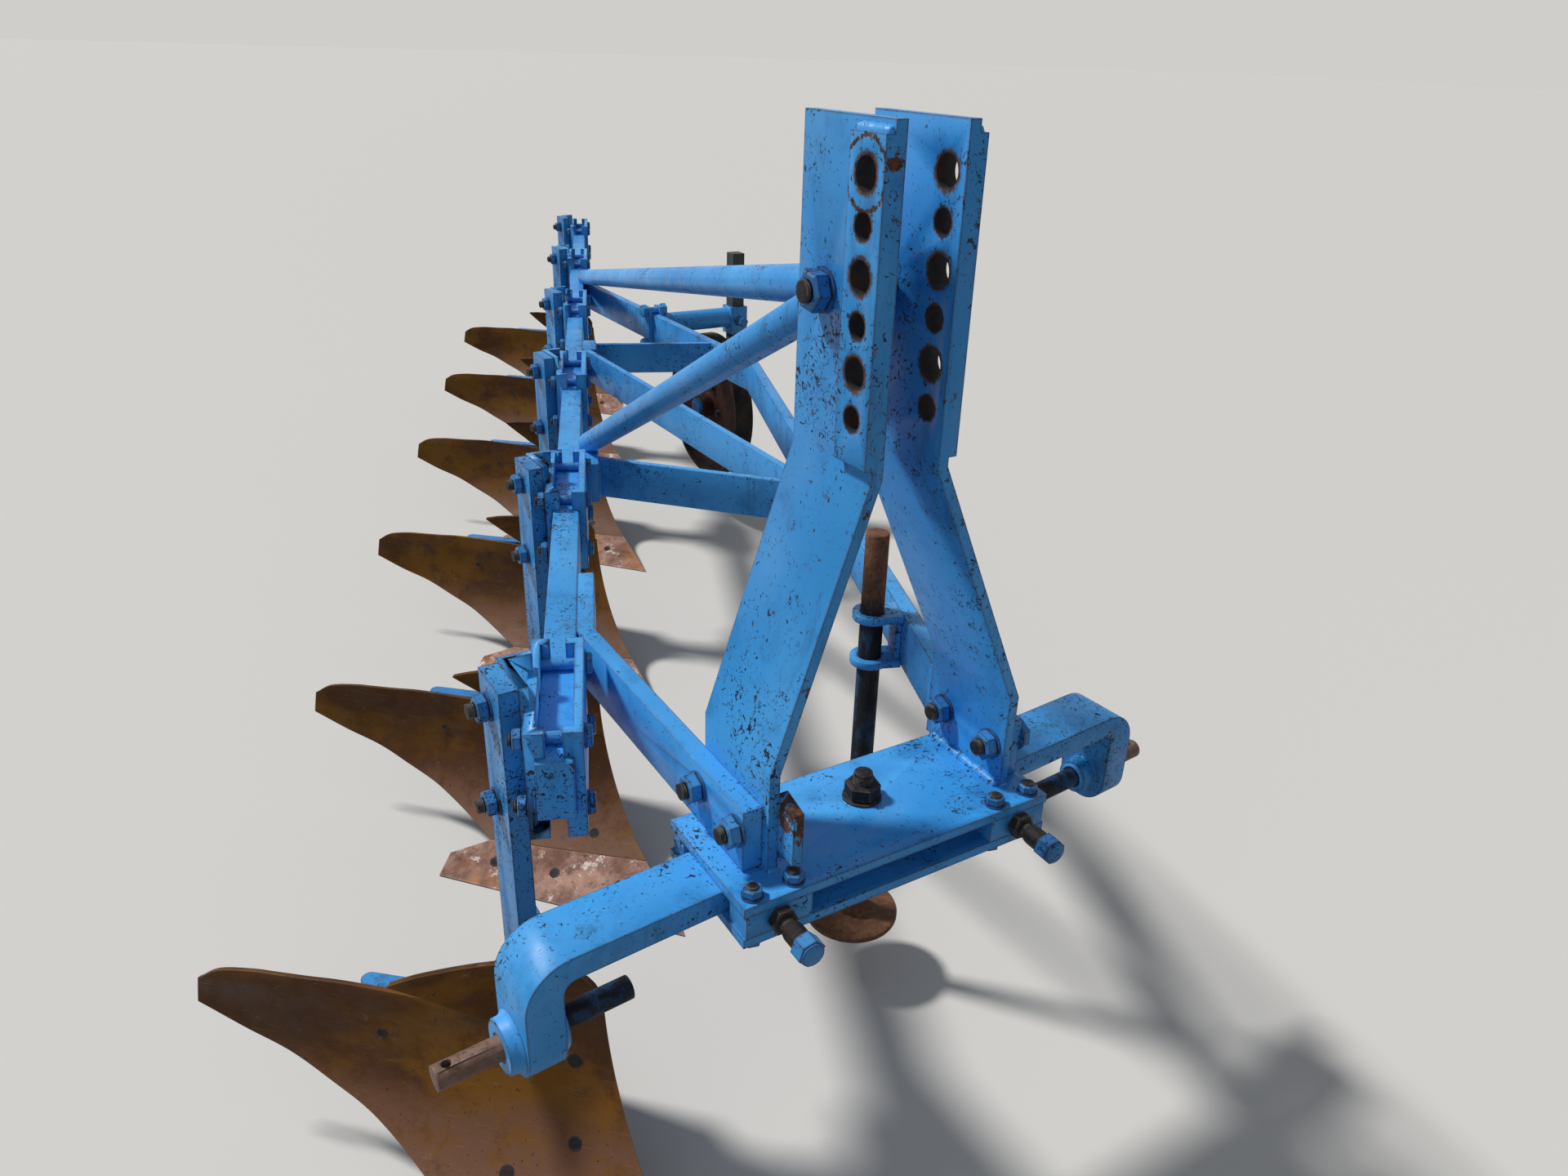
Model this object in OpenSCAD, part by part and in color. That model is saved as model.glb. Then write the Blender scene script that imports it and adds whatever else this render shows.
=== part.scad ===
// Mounted six-furrow mouldboard plough, its bodies staggered along one diagonal beam.
// +Z is up, the tractor is on the -Y side and the unploughed land is on the +X side.
// The layout is drawn from the rear corner of the first leg, whose outer face is x = 0 and
// whose rear face is y = 0. place() then moves it to the middle of the plough's box.

/* [Body spacing] */
// Spacing of neighbouring plough bodies across the travel
furrow_w = 292.5; // [280:0.5:305]
// Spacing of neighbouring plough bodies along the travel
body_step = 711.5; // [690:0.5:730]

/* [Share and mouldboard] */
// Distance from the leg's outer face to the plane of the shin
shin_x = 74; // [72:1:78]
// Forward reach of the share's point from the leg's rear face
point_reach = 537; // [520:1:550]
// Height of the share's back edge at the shin
share_h = 55; // [50:1:60]
// Slope of the share at the shin, in degrees
share_slope = 18.4; // [17:0.1:20]
// Angle of the cutting edge to the travel, in degrees
edge_angle = 41.8; // [40:0.1:44]
// Angle that the mouldboard adds by the height of its wing, in degrees
board_twist = 6.2; // [4:0.1:8]
// Radius of the mouldboard's curve at the shin
shin_r = 290; // [280:1:310]
// Thickness of the share
share_t = 10; // [8:0.5:12]
// Thickness of the mouldboard and of the trashboard
board_t = 8; // [6:0.5:10]
// Height of the share's blunt cutting edge
edge_h = 1.5; // [1:0.5:3]
// Thickness of the landside
landside_t = 12; // [10:1:14]
// Height of the landside
landside_h = 100; // [80:1:120]
// Reach of the landside's heel behind the leg
heel_reach = 60; // [40:1:80]

/* [Leg and frog] */
// Thickness of the leg
leg_t = 25; // [22:1:28]
// Width of the leg along the travel
leg_w = 75; // [70:1:80]
// Height of the leg's top
leg_top = 741; // [735:1:760]
// Height of the leg's lower end
leg_foot = 150; // [140:1:160]
// Thickness of the frog's web
web_t = 22; // [16:1:26]
// Height of the frog's web
web_top = 350; // [340:1:360]
// Width of the mouldboard's stay, a level plate behind the board's top
stay_w = 55; // [45:1:65]
// Thickness of the mouldboard's stay
stay_t = 10; // [8:1:14]
// Height of the stay's top
stay_z = 270; // [258:1:274]
// Reach of the stay from the shin to its round end
stay_reach = 296; // [270:1:310]
// Radius of the leg's bolts
leg_bolt_r = 10; // [8:0.5:11]

/* [Main beam] */
// Width of the beam
beam_w = 45; // [40:1:50]
// Height of the beam and of the bars that brace it
beam_h = 80; // [70:1:90]
// Height of the beam's underside
beam_z = 602; // [590:1:615]
// Distance from the beam's near side to the first leg's rear outer corner
beam_off = 69; // [69:1:72]
// Reach of the beam in front of the first leg
beam_front = 131; // [125:1:140]
// Reach of the beam behind the last leg
beam_rear = 130; // [120:1:150]

/* [Clamp brackets] */
// Thickness of the clamp plates
clamp_t = 12; // [10:1:12]
// Reach of the clamp plates in front of the leg's rear corner
clamp_front = 120; // [115:1:125]
// Reach of the clamp plates behind it
clamp_rear = 112; // [110:1:115]
// Height that the clamp plates stand over and under the beam
clamp_lip = 34; // [30:1:38]
// Thickness of the plate that the leg is bolted to
leg_plate_t = 12; // [8:1:14]
// Radius of the clamp bolts
clamp_bolt_r = 8; // [7:0.5:9]

/* [Bracing bars] */
// Thickness of the front brace and of the long bar
bar_t = 25; // [20:1:28]
// Thickness of the struts and of the diagonal
strut_t = 15; // [12:1:18]
// Width of the pads on the beam's side
pad_w = 36; // [30:1:40]
// Distance of the long bar's straight part from the first leg
long_bar_x = 1148; // [1130:1:1160]
// Radius of the lower round brace
tube_r = 21.5; // [19:0.5:23]
// Radius of the upper round brace
upper_tube_r = 24; // [22:0.5:26]
// Place of the front strut's pad along the beam
front_strut_at = 930; // [910:5:950]
// Place of the front strut's end along the travel
front_strut_y = 460; // [440:5:480]
// Place of the rear strut's pad along the beam
rear_strut_at = 1860; // [1840:5:1880]
// Place of the rear strut's end along the travel
rear_strut_y = 1543; // [1520:1:1560]
// Distance of the diagonal from the first leg
diagonal_x = 801; // [790:1:810]
// Place of the long bar's rear bend along the travel
long_straight_y = 1335; // [1310:5:1360]
// Place of the long bar's front bend in front of the leg's rear face
long_bend = 210; // [205:1:215]
// Place along the beam where the front brace ends
brace_end = 388; // [370:1:400]

/* [Headstock] */
// Middle of the headstock's feet across the travel
foot_x = 381; // [378:1:384]
// Middle of the headstock's top across the travel
top_x = 361; // [358:1:370]
// Thickness of the headstock plates
head_t = 13; // [12:1:15]
// Clear gap between the headstock plates
head_gap = 70; // [66:1:74]
// Clear gap between the feet of the headstock plates
foot_gap = 326; // [320:2:332]
// Width of the headstock plates along the travel
head_w = 150; // [145:1:160]
// Height of the headstock's top
head_top = 1382; // [1375:1:1400]
// Height of the upper bend
bend_high = 1047; // [1035:1:1055]
// Height of the lower bend
bend_low = 727; // [715:1:740]
// Front edge of the headstock plates, in front of the leg's rear face
head_front = 355; // [350:1:360]
// Width of the strips that thicken the plates at the top link's holes
strip_w = 56; // [54:1:60]
// Thickness of those strips
strip_t = 10; // [8:1:12]
// Height of the uppermost top link hole
link_hole_z = 1334; // [1325:1:1340]
// Spacing of the top link's holes of one size
link_pitch = 91.5; // [90:0.5:94]
// Radius of the large top link holes
link_big_r = 16; // [15:0.25:17]
// Radius of the small top link holes
link_small_r = 12.75; // [12:0.25:13]
// Height of the bolt that holds the round braces
brace_bolt_z = 1217; // [1200:1:1222]
// Distance of that bolt from the headstock's front edge
brace_bolt_in = 103; // [95:1:108]
// Radius of that bolt
brace_bolt_r = 12; // [10:0.5:13]

/* [Hitch box and cross shaft] */
// Middle of the hitch box across the travel
hitch_x = 370; // [365:1:375]
// Place of the pivot across the travel
pivot_x = 380; // [375:1:385]
// Length of the hitch box plates
box_l = 435; // [430:1:450]
// Width of the hitch box plates along the travel
box_w = 180; // [176:1:190]
// Thickness of the hitch box plates
box_t = 12; // [10:1:14]
// Thickness of the cross shaft
shaft_t = 30; // [28:1:32]
// Width of the cross shaft
shaft_w = 80; // [76:1:84]
// Angle that the cross shaft is turned about its pivot, in degrees
shaft_turn = 4.6; // [0:0.1:5]
// Place of the pivot in front of the leg's rear face
pivot_front = 288; // [284:1:292]
// Radius of the pivot bolt
pivot_r = 12; // [10:0.5:14]
// Reach of the cross shaft's left arm from the pivot
left_reach = 469; // [460:1:480]
// Reach of the cross shaft's right arm from the pivot
right_reach = 479; // [470:1:490]
// Thickness of the cross shaft's arms
arm_t = 44; // [40:1:48]
// Radius of the arms' bend
arm_bend_r = 55; // [50:1:60]
// Height of the lower link pins
link_pin_z = 470; // [460:1:480]
// Radius of the lower link pins
link_pin_r = 14; // [13:0.5:14.5]
// How much thicker the pins are where they sit in the arms
pin_step = 2; // [1:0.5:3]
// Length of a lower link pin outside its arm
pin_out = 72; // [66:1:80]
// Length of a lower link pin inside its arm
pin_in = 95; // [85:1:100]
// Radius of the linch pin's hole
linch_r = 5.5; // [5:0.25:6]

/* [Parking stand] */
// Radius of the stand's shaft
stand_r = 17.5; // [15:0.5:18]
// Height of the stand's top
stand_top = 810; // [800:1:830]
// Height of the foot's underside when the stand is raised
stand_lift = 112; // [100:1:120]
// Radius of the foot
stand_foot_r = 78; // [70:1:85]
// Place of the stand in front of the leg's rear face
stand_front = 29; // [20:1:35]
// Distance from the stand's axis to the long bar
stand_off = 43; // [40:1:48]

/* [Depth wheel] */
// Radius of the depth wheel
wheel_r = 225; // [215:1:228]
// Width of the depth wheel's rim
wheel_w = 60; // [50:1:66]
// Height of the wheel's axle
wheel_z = 375; // [370:1:380]
// Distance from the long bar to the middle of the wheel
wheel_off = 197; // [190:1:205]
// Distance from the long bar to the wheel's mast
mast_off = 282; // [275:1:290]
// Width of the square mast
mast_w = 40; // [36:1:42]
// Height of the mast's top
mast_top = 845; // [835:1:860]
// Radius of the arm that carries the mast
wheel_arm_r = 30; // [26:1:31]
// Height of that arm
wheel_arm_z = 650; // [646:1:655]
// Place of that arm along the travel
wheel_arm_y = 1940; // [1900:1:1980]
// Radius of the axle
axle_r = 17.5; // [15:0.5:18]

/* [Hidden] */
BODIES = 6;
$fn = 48;

blue = [0.20, 0.50, 0.80];
brown = [0.36, 0.24, 0.08];
share_grey = [0.55, 0.42, 0.38];
rust = [0.33, 0.20, 0.13];
dark = [0.12, 0.10, 0.09];

// Larger than the plough, for cuts that go all the way through
past = 5000;

// Clearances: between fixed pieces, of a bolt in its hole, and of a shaft that slides or turns
seat_gap = 0.2;
face_gap = 0.05;
board_gap = 0.9;
bolt_gap = 0.5;
fit_gap = 0.05;

// Direction of the beam, and the spacing of the bodies along it
beam_angle = atan2(furrow_w, body_step);
pitch = norm([furrow_w, body_step]);
beam_top = beam_z + beam_h;
beam_far = beam_off + beam_w;
far_plate = beam_far + clamp_t;
pad_out = beam_far + pad_w;
beam_end = (BODIES - 1) * pitch + beam_rear;
clamp_alongs = [-88, 86];

// The share, the mouldboard and the trashboard are parts of one surface. It is drawn in the
// plane of the shin as a slope and an arc, and level straight lines run back from there.
twist_h = 207;
twist_most = 1.2;
share_back = share_h / tan(share_slope) - point_reach;
function shin_angle(z) =
    z <= share_h ? share_slope : acos(cos(share_slope) - (z - share_h) / shin_r);
function shin_y(z) =
    z <= share_h ? z / tan(share_slope) - point_reach
    : share_back + shin_r * (sin(shin_angle(z)) - sin(share_slope));
function turn(z) = edge_angle + board_twist * min(twist_most, z / twist_h);
function tilt(z) = atan2(sin(shin_angle(z)), cos(shin_angle(z)) * sin(turn(z)));
function normal(z) =
    [-cos(turn(z)) * sin(tilt(z)), -sin(turn(z)) * sin(tilt(z)), cos(tilt(z))];
// A point of the worked face at a distance from the shin, and the point behind it
function face(from_shin, z) = [shin_x - from_shin, shin_y(z) + from_shin / tan(turn(z)), z];
function shove(z, t) = t * cos(turn(z)) * sin(tilt(z));
function behind(from_shin, z, t) =
    let (p = face(from_shin, z) - t * normal(z), over = max(0, p.x - shin_x))
    [p.x - over, p.y + over / tan(turn(z)), max(0, p.z)];

// Mouldboard outline: distance from the shin and height over the share's back edge,
// for the lower edge and then for the upper edge
board_cols = [
    [0, 0, 0, 245],
    [74, -3.3, 74, 222],
    [121, -5.3, 121, 207],
    [194, -8.5, 194, 213],
    [227, -10, 239, 216],
    [266, 28, 284, 217],
    [287, 46, 324, 215],
    [319, 66, 359, 214],
    [359, 92, 385, 213],
    [408, 114, 424, 206],
    [456, 142, 449, 188]
];
// Share outline: distance from the shin at the edge and at the back, and the back's height
// over the share's back edge at the shin
share_cols = [
    [0, 0, 0],
    [85, 74, -3.3],
    [140, 121, -5.3],
    [222, 194, -8.5],
    [262, 227, -10],
    [332, 300, -30]
];
// Trashboard outline: distance from the shin at the lower and the upper edge, and the upper
// edge's height over the share's back edge
trash_cols = [
    [4, 4, 295],
    [54, 54, 293],
    [103, 103, 274],
    [136, 136, 252],
    [170, 170, 235],
    [200, 200, 224],
    [220, 218, 219]
];
board_rows = 8;
board_top_line = [for (c = board_cols) [c[2], c[3]]];

// A column of points from a lower to an upper point of the outline, at the given steps
function column(low, high, steps) = [for (f = steps) low + f * (high - low)];
function front_pts(cols) = [for (col = cols) [for (q = col) face(q.x, q.y)]];
function back_pts(cols, t) = [for (col = cols) [for (q = col) behind(q.x, q.y, t)]];

board_steps = [for (j = [0:board_rows]) j / board_rows];
board_grid = [for (c = board_cols) column([c[0], share_h + c[1]], [c[2], share_h + c[3]], board_steps)];
trash_grid = [for (c = trash_cols)
    column([c[0], share_h + lookup(c[0], board_top_line) + board_gap], [c[1], share_h + c[2]], [0, 0.5, 1])];
under_h = share_t * cos(tilt(0));
share_grid = [for (c = share_cols)
    let (low = [c[0], edge_h], high = [c[1], share_h + c[2]], f = (under_h - edge_h) / (high.y - edge_h))
    column(low, high, [0, min(f, 0.8), 1])];

// The whole plough's box across and along, which place() centres
board_all = [for (col = concat(front_pts(board_grid), back_pts(board_grid, board_t))) each col];
low_x = min([for (p = board_all) p.x]);
high_x = (BODIES - 1) * furrow_w
    + on_beam(far_plate + 2 * face_gap + 1.3 * clamp_bolt_r, clamp_alongs[1] + 1.7 * clamp_bolt_r).x;
low_y = shin_y(edge_h);
high_y = (BODIES - 1) * body_step + max([for (p = board_all) p.y]);
shift = [-(low_x + high_x) / 2, -(low_y + high_y) / 2, 0];

// Headstock, hitch box and cross shaft
foot_left = foot_x - foot_gap / 2;
foot_right = foot_x + foot_gap / 2;
slot_h = shaft_t + 2 * seat_gap;
box_top = beam_z - 2;
box_low = box_top - 2 * box_t - slot_h;
slot_z = box_low + box_t;
shaft_z = slot_z + seat_gap;
box_front = head_front + 41;
link_hole_y = -head_front + strip_w / 2;
brace_bolt_y = -head_front + brace_bolt_in;
foot_bolt_z = beam_z + beam_h / 2 + 10;
foot_bolt_ys = [-head_front + 25, -head_front + 118];
foot_bolt_r = 10;
spacer_l = 85;
spacer_w = 38;
spacer_in = 3;
front_bolt_y = -box_front + 16;
bolt_spread = 26.5;
hitch_bolt_r = 6.5;
screw_r = 9;
bar_front = head_front - 13;

// Pads along the beam: the front strut's with the lower round brace's, and the rear strut's
pads = [[front_strut_at - 40, front_strut_at + 80], [rear_strut_at - 60, rear_strut_at + 40]];

module place() {
    translate(shift) children();
}

module at_body(k) {
    translate([(k - 1) * furrow_w, (k - 1) * body_step, 0]) children();
}

// Turns +Y along the beam and +X across it
module along_beam() {
    rotate([0, 0, -beam_angle]) children();
}

module each_body() {
    for (k = [1:BODIES]) at_body(k) children();
}

// Round bar along X, from one x to another
module rod_x(r, x0, x1) {
    translate([x0, 0, 0]) rotate([0, 90, 0]) cylinder(r = r, h = x1 - x0);
}

// Hexagon along X, its size given across the corners
module hex_x(r, x0, x1) {
    translate([x0, 0, 0]) rotate([0, 90, 0]) cylinder(r = r, h = x1 - x0, $fn = 6);
}

// A bolt along X through parts between two faces: head on the high side, nut on the low side
module bolt_x(r, low, high, tail) {
    rod_x(r, low - 1.8 * r - tail, high + 0.1);
    hex_x(2 * r / cos(30) * 0.85, low - 1.6 * r, low);
    hex_x(2 * r / cos(30) * 0.85, high, high + 1.3 * r);
}

// The same upright: nut on top, head below
module bolt_z(r, low, high, tail) {
    translate([0, 0, low - 0.1]) cylinder(r = r, h = high - low + 1.8 * r + tail);
    translate([0, 0, high]) cylinder(r = 1.95 * r, h = 1.6 * r, $fn = 6);
    translate([0, 0, low - 1.3 * r]) cylinder(r = 1.95 * r, h = 1.3 * r, $fn = 6);
}

// Outline of a bar of width w whose middle follows a list of points, mitred at the bends
function unit(v) = v / norm(v);
function side(v) = [v.y, -v.x];
function mitre(pts, i) =
    let (n = len(pts),
         a = side(unit(pts[min(i + 1, n - 1)] - pts[min(i, n - 2)])),
         b = side(unit(pts[max(i, 1)] - pts[max(i - 1, 0)])))
    (a + b) / (1 + a * b);
function rail(pts, w) = concat(
    [for (i = [0:len(pts) - 1]) pts[i] + mitre(pts, i) * w / 2],
    [for (i = [len(pts) - 1:-1:0]) pts[i] - mitre(pts, i) * w / 2]);

module bar(pts, w) {
    translate([0, 0, beam_z]) linear_extrude(beam_h) difference() {
        polygon(rail(pts, w));
        children();
    }
}

// Everything on the near side of the beam's far face, seen from above
module beam_side_2d() {
    rotate(-beam_angle) translate([-past, -past]) square([past + beam_far + face_gap, 2 * past]);
}

module pads_2d() {
    rotate(-beam_angle) for (p = pads) translate([beam_far + face_gap, p[0]]) square([pad_w, p[1] - p[0]]);
}

// A point seen from above, given across and along the beam
function on_beam(across, along) =
    [across * cos(beam_angle) + along * sin(beam_angle),
     along * cos(beam_angle) - across * sin(beam_angle)];

long_x = foot_right + head_t + bar_t / 2 + face_gap;
long_angle = atan2(long_bar_x - long_x, long_straight_y + long_bend);
function on_long_bar(y) = [long_x + (y + long_bend) * tan(long_angle), y];
// Point at the given distance from the first leg on a line across the beam
function beam_at_x(across, x) = on_beam(across, (x - across * cos(beam_angle)) / sin(beam_angle));
long_end = beam_at_x(beam_far, long_bar_x);
long_path = [
    [long_x, -bar_front],
    [long_x, -long_bend],
    [long_bar_x, long_straight_y],
    long_end + [0, 2 * bar_t]
];
strut_path = [on_beam(pad_out, front_strut_at), on_long_bar(front_strut_y)];
strut_run = strut_path[1] - strut_path[0];
diagonal_foot = strut_path[0] + strut_run * (diagonal_x - strut_path[0].x) / strut_run.x;
diagonal_head = beam_at_x(beam_far, diagonal_x);
brace_x = foot_left - head_t - bar_t / 2 - face_gap;
brace_line = beam_far + bar_t / 2 + face_gap;
front_path = [
    [brace_x, -bar_front],
    beam_at_x(brace_line, brace_x),
    on_beam(brace_line, brace_end)
];

module long_bar_2d() {
    polygon(rail(long_path, bar_t));
}

// A closed sheet between two matching grids of points
module skin(front, back) {
    n = len(front[0]);
    m = len(front);
    top = n - 1;
    end = m - 1;
    off = n * m;
    function at(i, j) = i * n + j;
    polyhedron(
        points = concat([for (c = front) each c], [for (c = back) each c]),
        faces = concat(
            [for (i = [0:end - 1], j = [0:top - 1]) each [
                [at(i, j), at(i + 1, j), at(i + 1, j + 1)],
                [at(i, j), at(i + 1, j + 1), at(i, j + 1)],
                [off + at(i, j), off + at(i + 1, j + 1), off + at(i + 1, j)],
                [off + at(i, j), off + at(i, j + 1), off + at(i + 1, j + 1)]]],
            [for (j = [0:top - 1]) each [
                [at(0, j), at(0, j + 1), off + at(0, j + 1)],
                [at(0, j), off + at(0, j + 1), off + at(0, j)],
                [at(end, j + 1), at(end, j), off + at(end, j)],
                [at(end, j + 1), off + at(end, j), off + at(end, j + 1)]]],
            [for (i = [0:end - 1]) each [
                [at(i + 1, 0), at(i, 0), off + at(i, 0)],
                [at(i + 1, 0), off + at(i, 0), off + at(i + 1, 0)],
                [at(i, top), at(i + 1, top), off + at(i + 1, top)],
                [at(i, top), off + at(i + 1, top), off + at(i, top)]]]));
}

module beam() {
    place() color(blue) along_beam()
        translate([beam_off, -beam_front, beam_z]) cube([beam_w, beam_front + beam_end, beam_h]);
}

clamp_bolt_zs = [beam_z - clamp_bolt_r - seat_gap, beam_top + clamp_bolt_r + seat_gap];
leg_bolt_zs = [561, 701];
leg_bolt_y = -30;
frog_bolt_zs = [200, 300];
frog_bolt_y = -38;

module clamp_holes() {
    along_beam() for (a = clamp_alongs, z = clamp_bolt_zs)
        translate([0, a, z]) rod_x(clamp_bolt_r + bolt_gap, 0, far_plate + 50);
}

module leg_holes() {
    for (z = leg_bolt_zs) translate([0, leg_bolt_y, z]) rod_x(leg_bolt_r + bolt_gap, -5, leg_t + leg_plate_t + 2);
    for (z = frog_bolt_zs) translate([0, frog_bolt_y, z]) rod_x(leg_bolt_r + bolt_gap, -5, leg_t + web_t + 5);
}

// Claws of a clamp plate that reach over and under the beam, at the plate's ends
module claws() {
    claw_l = 16;
    claw_in = 12;
    for (a = [-clamp_front, clamp_rear - claw_l], z = [beam_z - clamp_lip, beam_top + seat_gap])
        translate([0, a, z]) cube([claw_in + 1, claw_l, clamp_lip - seat_gap]);
}

// Near clamp plate, the plate for the leg, and the wall that joins their rear ends
module bracket(k) {
    wall_t = 10;
    place() color(blue) at_body(k) difference() {
        union() {
            along_beam() {
                translate([beam_off - clamp_t - face_gap, -clamp_front, beam_z - clamp_lip])
                    cube([clamp_t, clamp_front + clamp_rear, beam_h + 2 * clamp_lip]);
                translate([beam_off - 1, 0, 0]) claws();
            }
            intersection() {
                union() {
                    translate([leg_t + face_gap, -leg_w, 520]) cube([leg_plate_t, leg_w + wall_t, leg_top + 1 - 520]);
                    translate([leg_t + face_gap, 0, beam_z - clamp_lip])
                        cube([60, wall_t, leg_top + 1 - beam_z + clamp_lip]);
                }
                along_beam() translate([-past, -past, 0]) cube([past + beam_off - clamp_t / 2, 2 * past, past]);
            }
        }
        clamp_holes();
        leg_holes();
    }
}

module clamp_plates() {
    place() color(blue) each_body() difference() {
        along_beam() {
            translate([beam_far + face_gap, -clamp_front, beam_z - clamp_lip])
                cube([clamp_t, clamp_front + clamp_rear, beam_h + 2 * clamp_lip]);
            mirror([1, 0, 0]) translate([-beam_far - 1, 0, 0]) claws();
        }
        clamp_holes();
    }
}

module clamp_bolts() {
    place() color(blue) each_body() along_beam() for (a = clamp_alongs, z = clamp_bolt_zs)
        translate([0, a, z]) bolt_x(clamp_bolt_r, beam_off - clamp_t - 2 * face_gap, far_plate + 2 * face_gap, 4);
}

module leg(k) {
    place() color(blue) at_body(k) difference() {
        translate([0, -leg_w, leg_foot]) cube([leg_t, leg_w, leg_top - leg_foot]);
        leg_holes();
    }
}

module leg_bolts() {
    place() color(blue) each_body() {
        for (z = leg_bolt_zs) translate([0, leg_bolt_y, z]) {
            rod_x(leg_bolt_r, -1.8 * leg_bolt_r - 8, leg_t + leg_plate_t);
            hex_x(1.85 * leg_bolt_r, -1.6 * leg_bolt_r, 0);
        }
        for (z = frog_bolt_zs) translate([0, frog_bolt_y, z]) bolt_x(leg_bolt_r, 0, leg_t + web_t + 2 * face_gap, 5);
    }
}

// Heights at which that outline follows the share
low_steps = [22, 40, share_h - 4];

// Outline of what stands behind the share and the mouldboard at a distance from the shin
function back_line(from_shin, zs) =
    [for (z = zs) let (t = (z < share_h ? share_t : board_t) + board_gap, p = behind(from_shin + shove(z, t), z, t)) [p.y, p.z]];

// Web on the leg, foot for the landside and the stay that holds the mouldboard's wing
module frog(k) {
    web_x = leg_t + face_gap;
    foot_x = web_x + web_t;
    web_low = 12;
    web_rear = 12;
    foot_h = 60;
    foot_low = share_h + foot_h / 2;
    end = behind(stay_reach, stay_z, board_t + board_gap);
    steps = [for (f = [0:0.1:1]) share_h + 6 + f * (web_top - share_h - 16)];
    place() color(blue) at_body(k) difference() {
        union() {
            translate([web_x, 0, 0]) rotate([90, 0, 90]) linear_extrude(web_t) polygon(concat(
                back_line(shin_x - web_x, concat(low_steps, steps)),
                [[-leg_w, web_top], [web_rear, web_top], [web_rear, web_low],
                 [back_line(shin_x - web_x, [low_steps[0]])[0].x + 8, web_low]]));
            translate([foot_x - 1, back_line(shin_x - foot_x, [foot_low])[0].x, web_low])
                cube([shin_x - landside_t - face_gap - foot_x + 1, 200, foot_h]);
            translate([0, 0, stay_z - stay_t]) linear_extrude(stay_t) difference() {
                intersection() {
                    translate([end.x, end.y]) rotate(turn(stay_z) - 90) {
                        translate([0, 0]) square([past, stay_w]);
                        translate([0, stay_w / 2]) circle(d = stay_w);
                    }
                    translate([-past, -past]) square([past + foot_x, 2 * past]);
                }
                translate([-past, -leg_w - seat_gap]) square([past + web_x, past]);
            }
        }
        leg_holes();
    }
}

module landsides() {
    x0 = shin_x - landside_t;
    place() color(rust) each_body() translate([x0, 0, 0]) rotate([90, 0, 90]) linear_extrude(landside_t)
        polygon(concat(
            [[back_line(landside_t, [low_steps[0]])[0].x, 0]],
            back_line(landside_t, concat(low_steps, [share_h + 6, landside_h - 20, landside_h])),
            [[heel_reach - 15, landside_h], [heel_reach, landside_h - 40], [heel_reach, 0]]));
}

module share(k) {
    place() color(share_grey) at_body(k) skin(front_pts(share_grid), back_pts(share_grid, share_t));
}

module mouldboard(k) {
    place() color(brown) at_body(k) skin(front_pts(board_grid), back_pts(board_grid, board_t));
}

module trashboards() {
    place() color(brown) each_body() skin(front_pts(trash_grid), back_pts(trash_grid, board_t));
}

module front_brace() {
    place() color(blue) difference() {
        bar(front_path, bar_t);
        foot_bolt_holes();
    }
}

module long_bar() {
    place() color(blue) difference() {
        bar(long_path, bar_t) beam_side_2d();
        foot_bolt_holes();
    }
}

module strut_front() {
    place() color(blue) bar(strut_path, strut_t) {
        beam_side_2d();
        pads_2d();
        long_bar_2d();
    }
}

module strut_rear() {
    place() color(blue) bar([on_beam(beam_far, rear_strut_at), [long_bar_x, rear_strut_y]], strut_t) {
        beam_side_2d();
        pads_2d();
        long_bar_2d();
    }
}

module diagonal() {
    place() color(blue) bar([diagonal_head, diagonal_foot], strut_t) {
        beam_side_2d();
        pads_2d();
        polygon(rail(strut_path, strut_t));
    }
}

module beam_pads() {
    place() color(blue) translate([0, 0, beam_z]) linear_extrude(beam_h) pads_2d();
}

// One headstock plate: s is -1 for the left foot in the layout and 1 for the right one
module headstock(s) {
    tab_t = 12;
    tab_out = 32;
    top_mid = top_x + s * (head_gap + head_t) / 2;
    foot_mid = foot_x + s * (foot_gap + head_t) / 2;
    strip_x = top_x + s * (head_gap / 2 + head_t + strip_t / 2) - strip_t / 2;
    difference() {
        union() {
            translate([0, -head_front + head_w, 0]) rotate([90, 0, 0]) linear_extrude(head_w)
                polygon(rail([[top_mid, head_top], [top_mid, bend_high], [foot_mid, bend_low], [foot_mid, box_top]], head_t));
            translate([strip_x, -head_front, bend_high + 11]) cube([strip_t, strip_w, head_top - 12 - bend_high - 11]);
            if (s < 0) translate([foot_left - 1, -head_front - tab_out, beam_z + 12])
                cube([tab_t + 1, tab_out + 3, beam_h + 8]);
        }
        for (i = [0:2]) translate([0, link_hole_y, link_hole_z - i * link_pitch]) {
            rod_x(link_big_r, strip_x - 100, strip_x + 100);
            translate([0, 0, -link_pitch / 2]) rod_x(link_small_r, strip_x - 100, strip_x + 100);
        }
        translate([0, brace_bolt_y, brace_bolt_z]) rod_x(brace_bolt_r + fit_gap, top_mid - 50, top_mid + 50);
        foot_bolt_holes();
    }
}

module headstock_left() {
    place() color(blue) headstock(-1);
}

module headstock_right() {
    place() color(blue) headstock(1);
}

module foot_bolt_holes() {
    for (y = foot_bolt_ys) translate([0, y, foot_bolt_z])
        rod_x(foot_bolt_r + bolt_gap, brace_x - 30, foot_right + head_t + bar_t + 20);
}

module foot_bolts() {
    tab_seat = face_gap;
    place() color(blue) for (y = foot_bolt_ys) translate([0, y, foot_bolt_z]) {
        bolt_x(foot_bolt_r, brace_x - bar_t / 2 - face_gap, foot_left + tab_seat, 6);
        bolt_x(foot_bolt_r, foot_right - face_gap, long_x + bar_t / 2 + face_gap, 6);
    }
}

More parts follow.
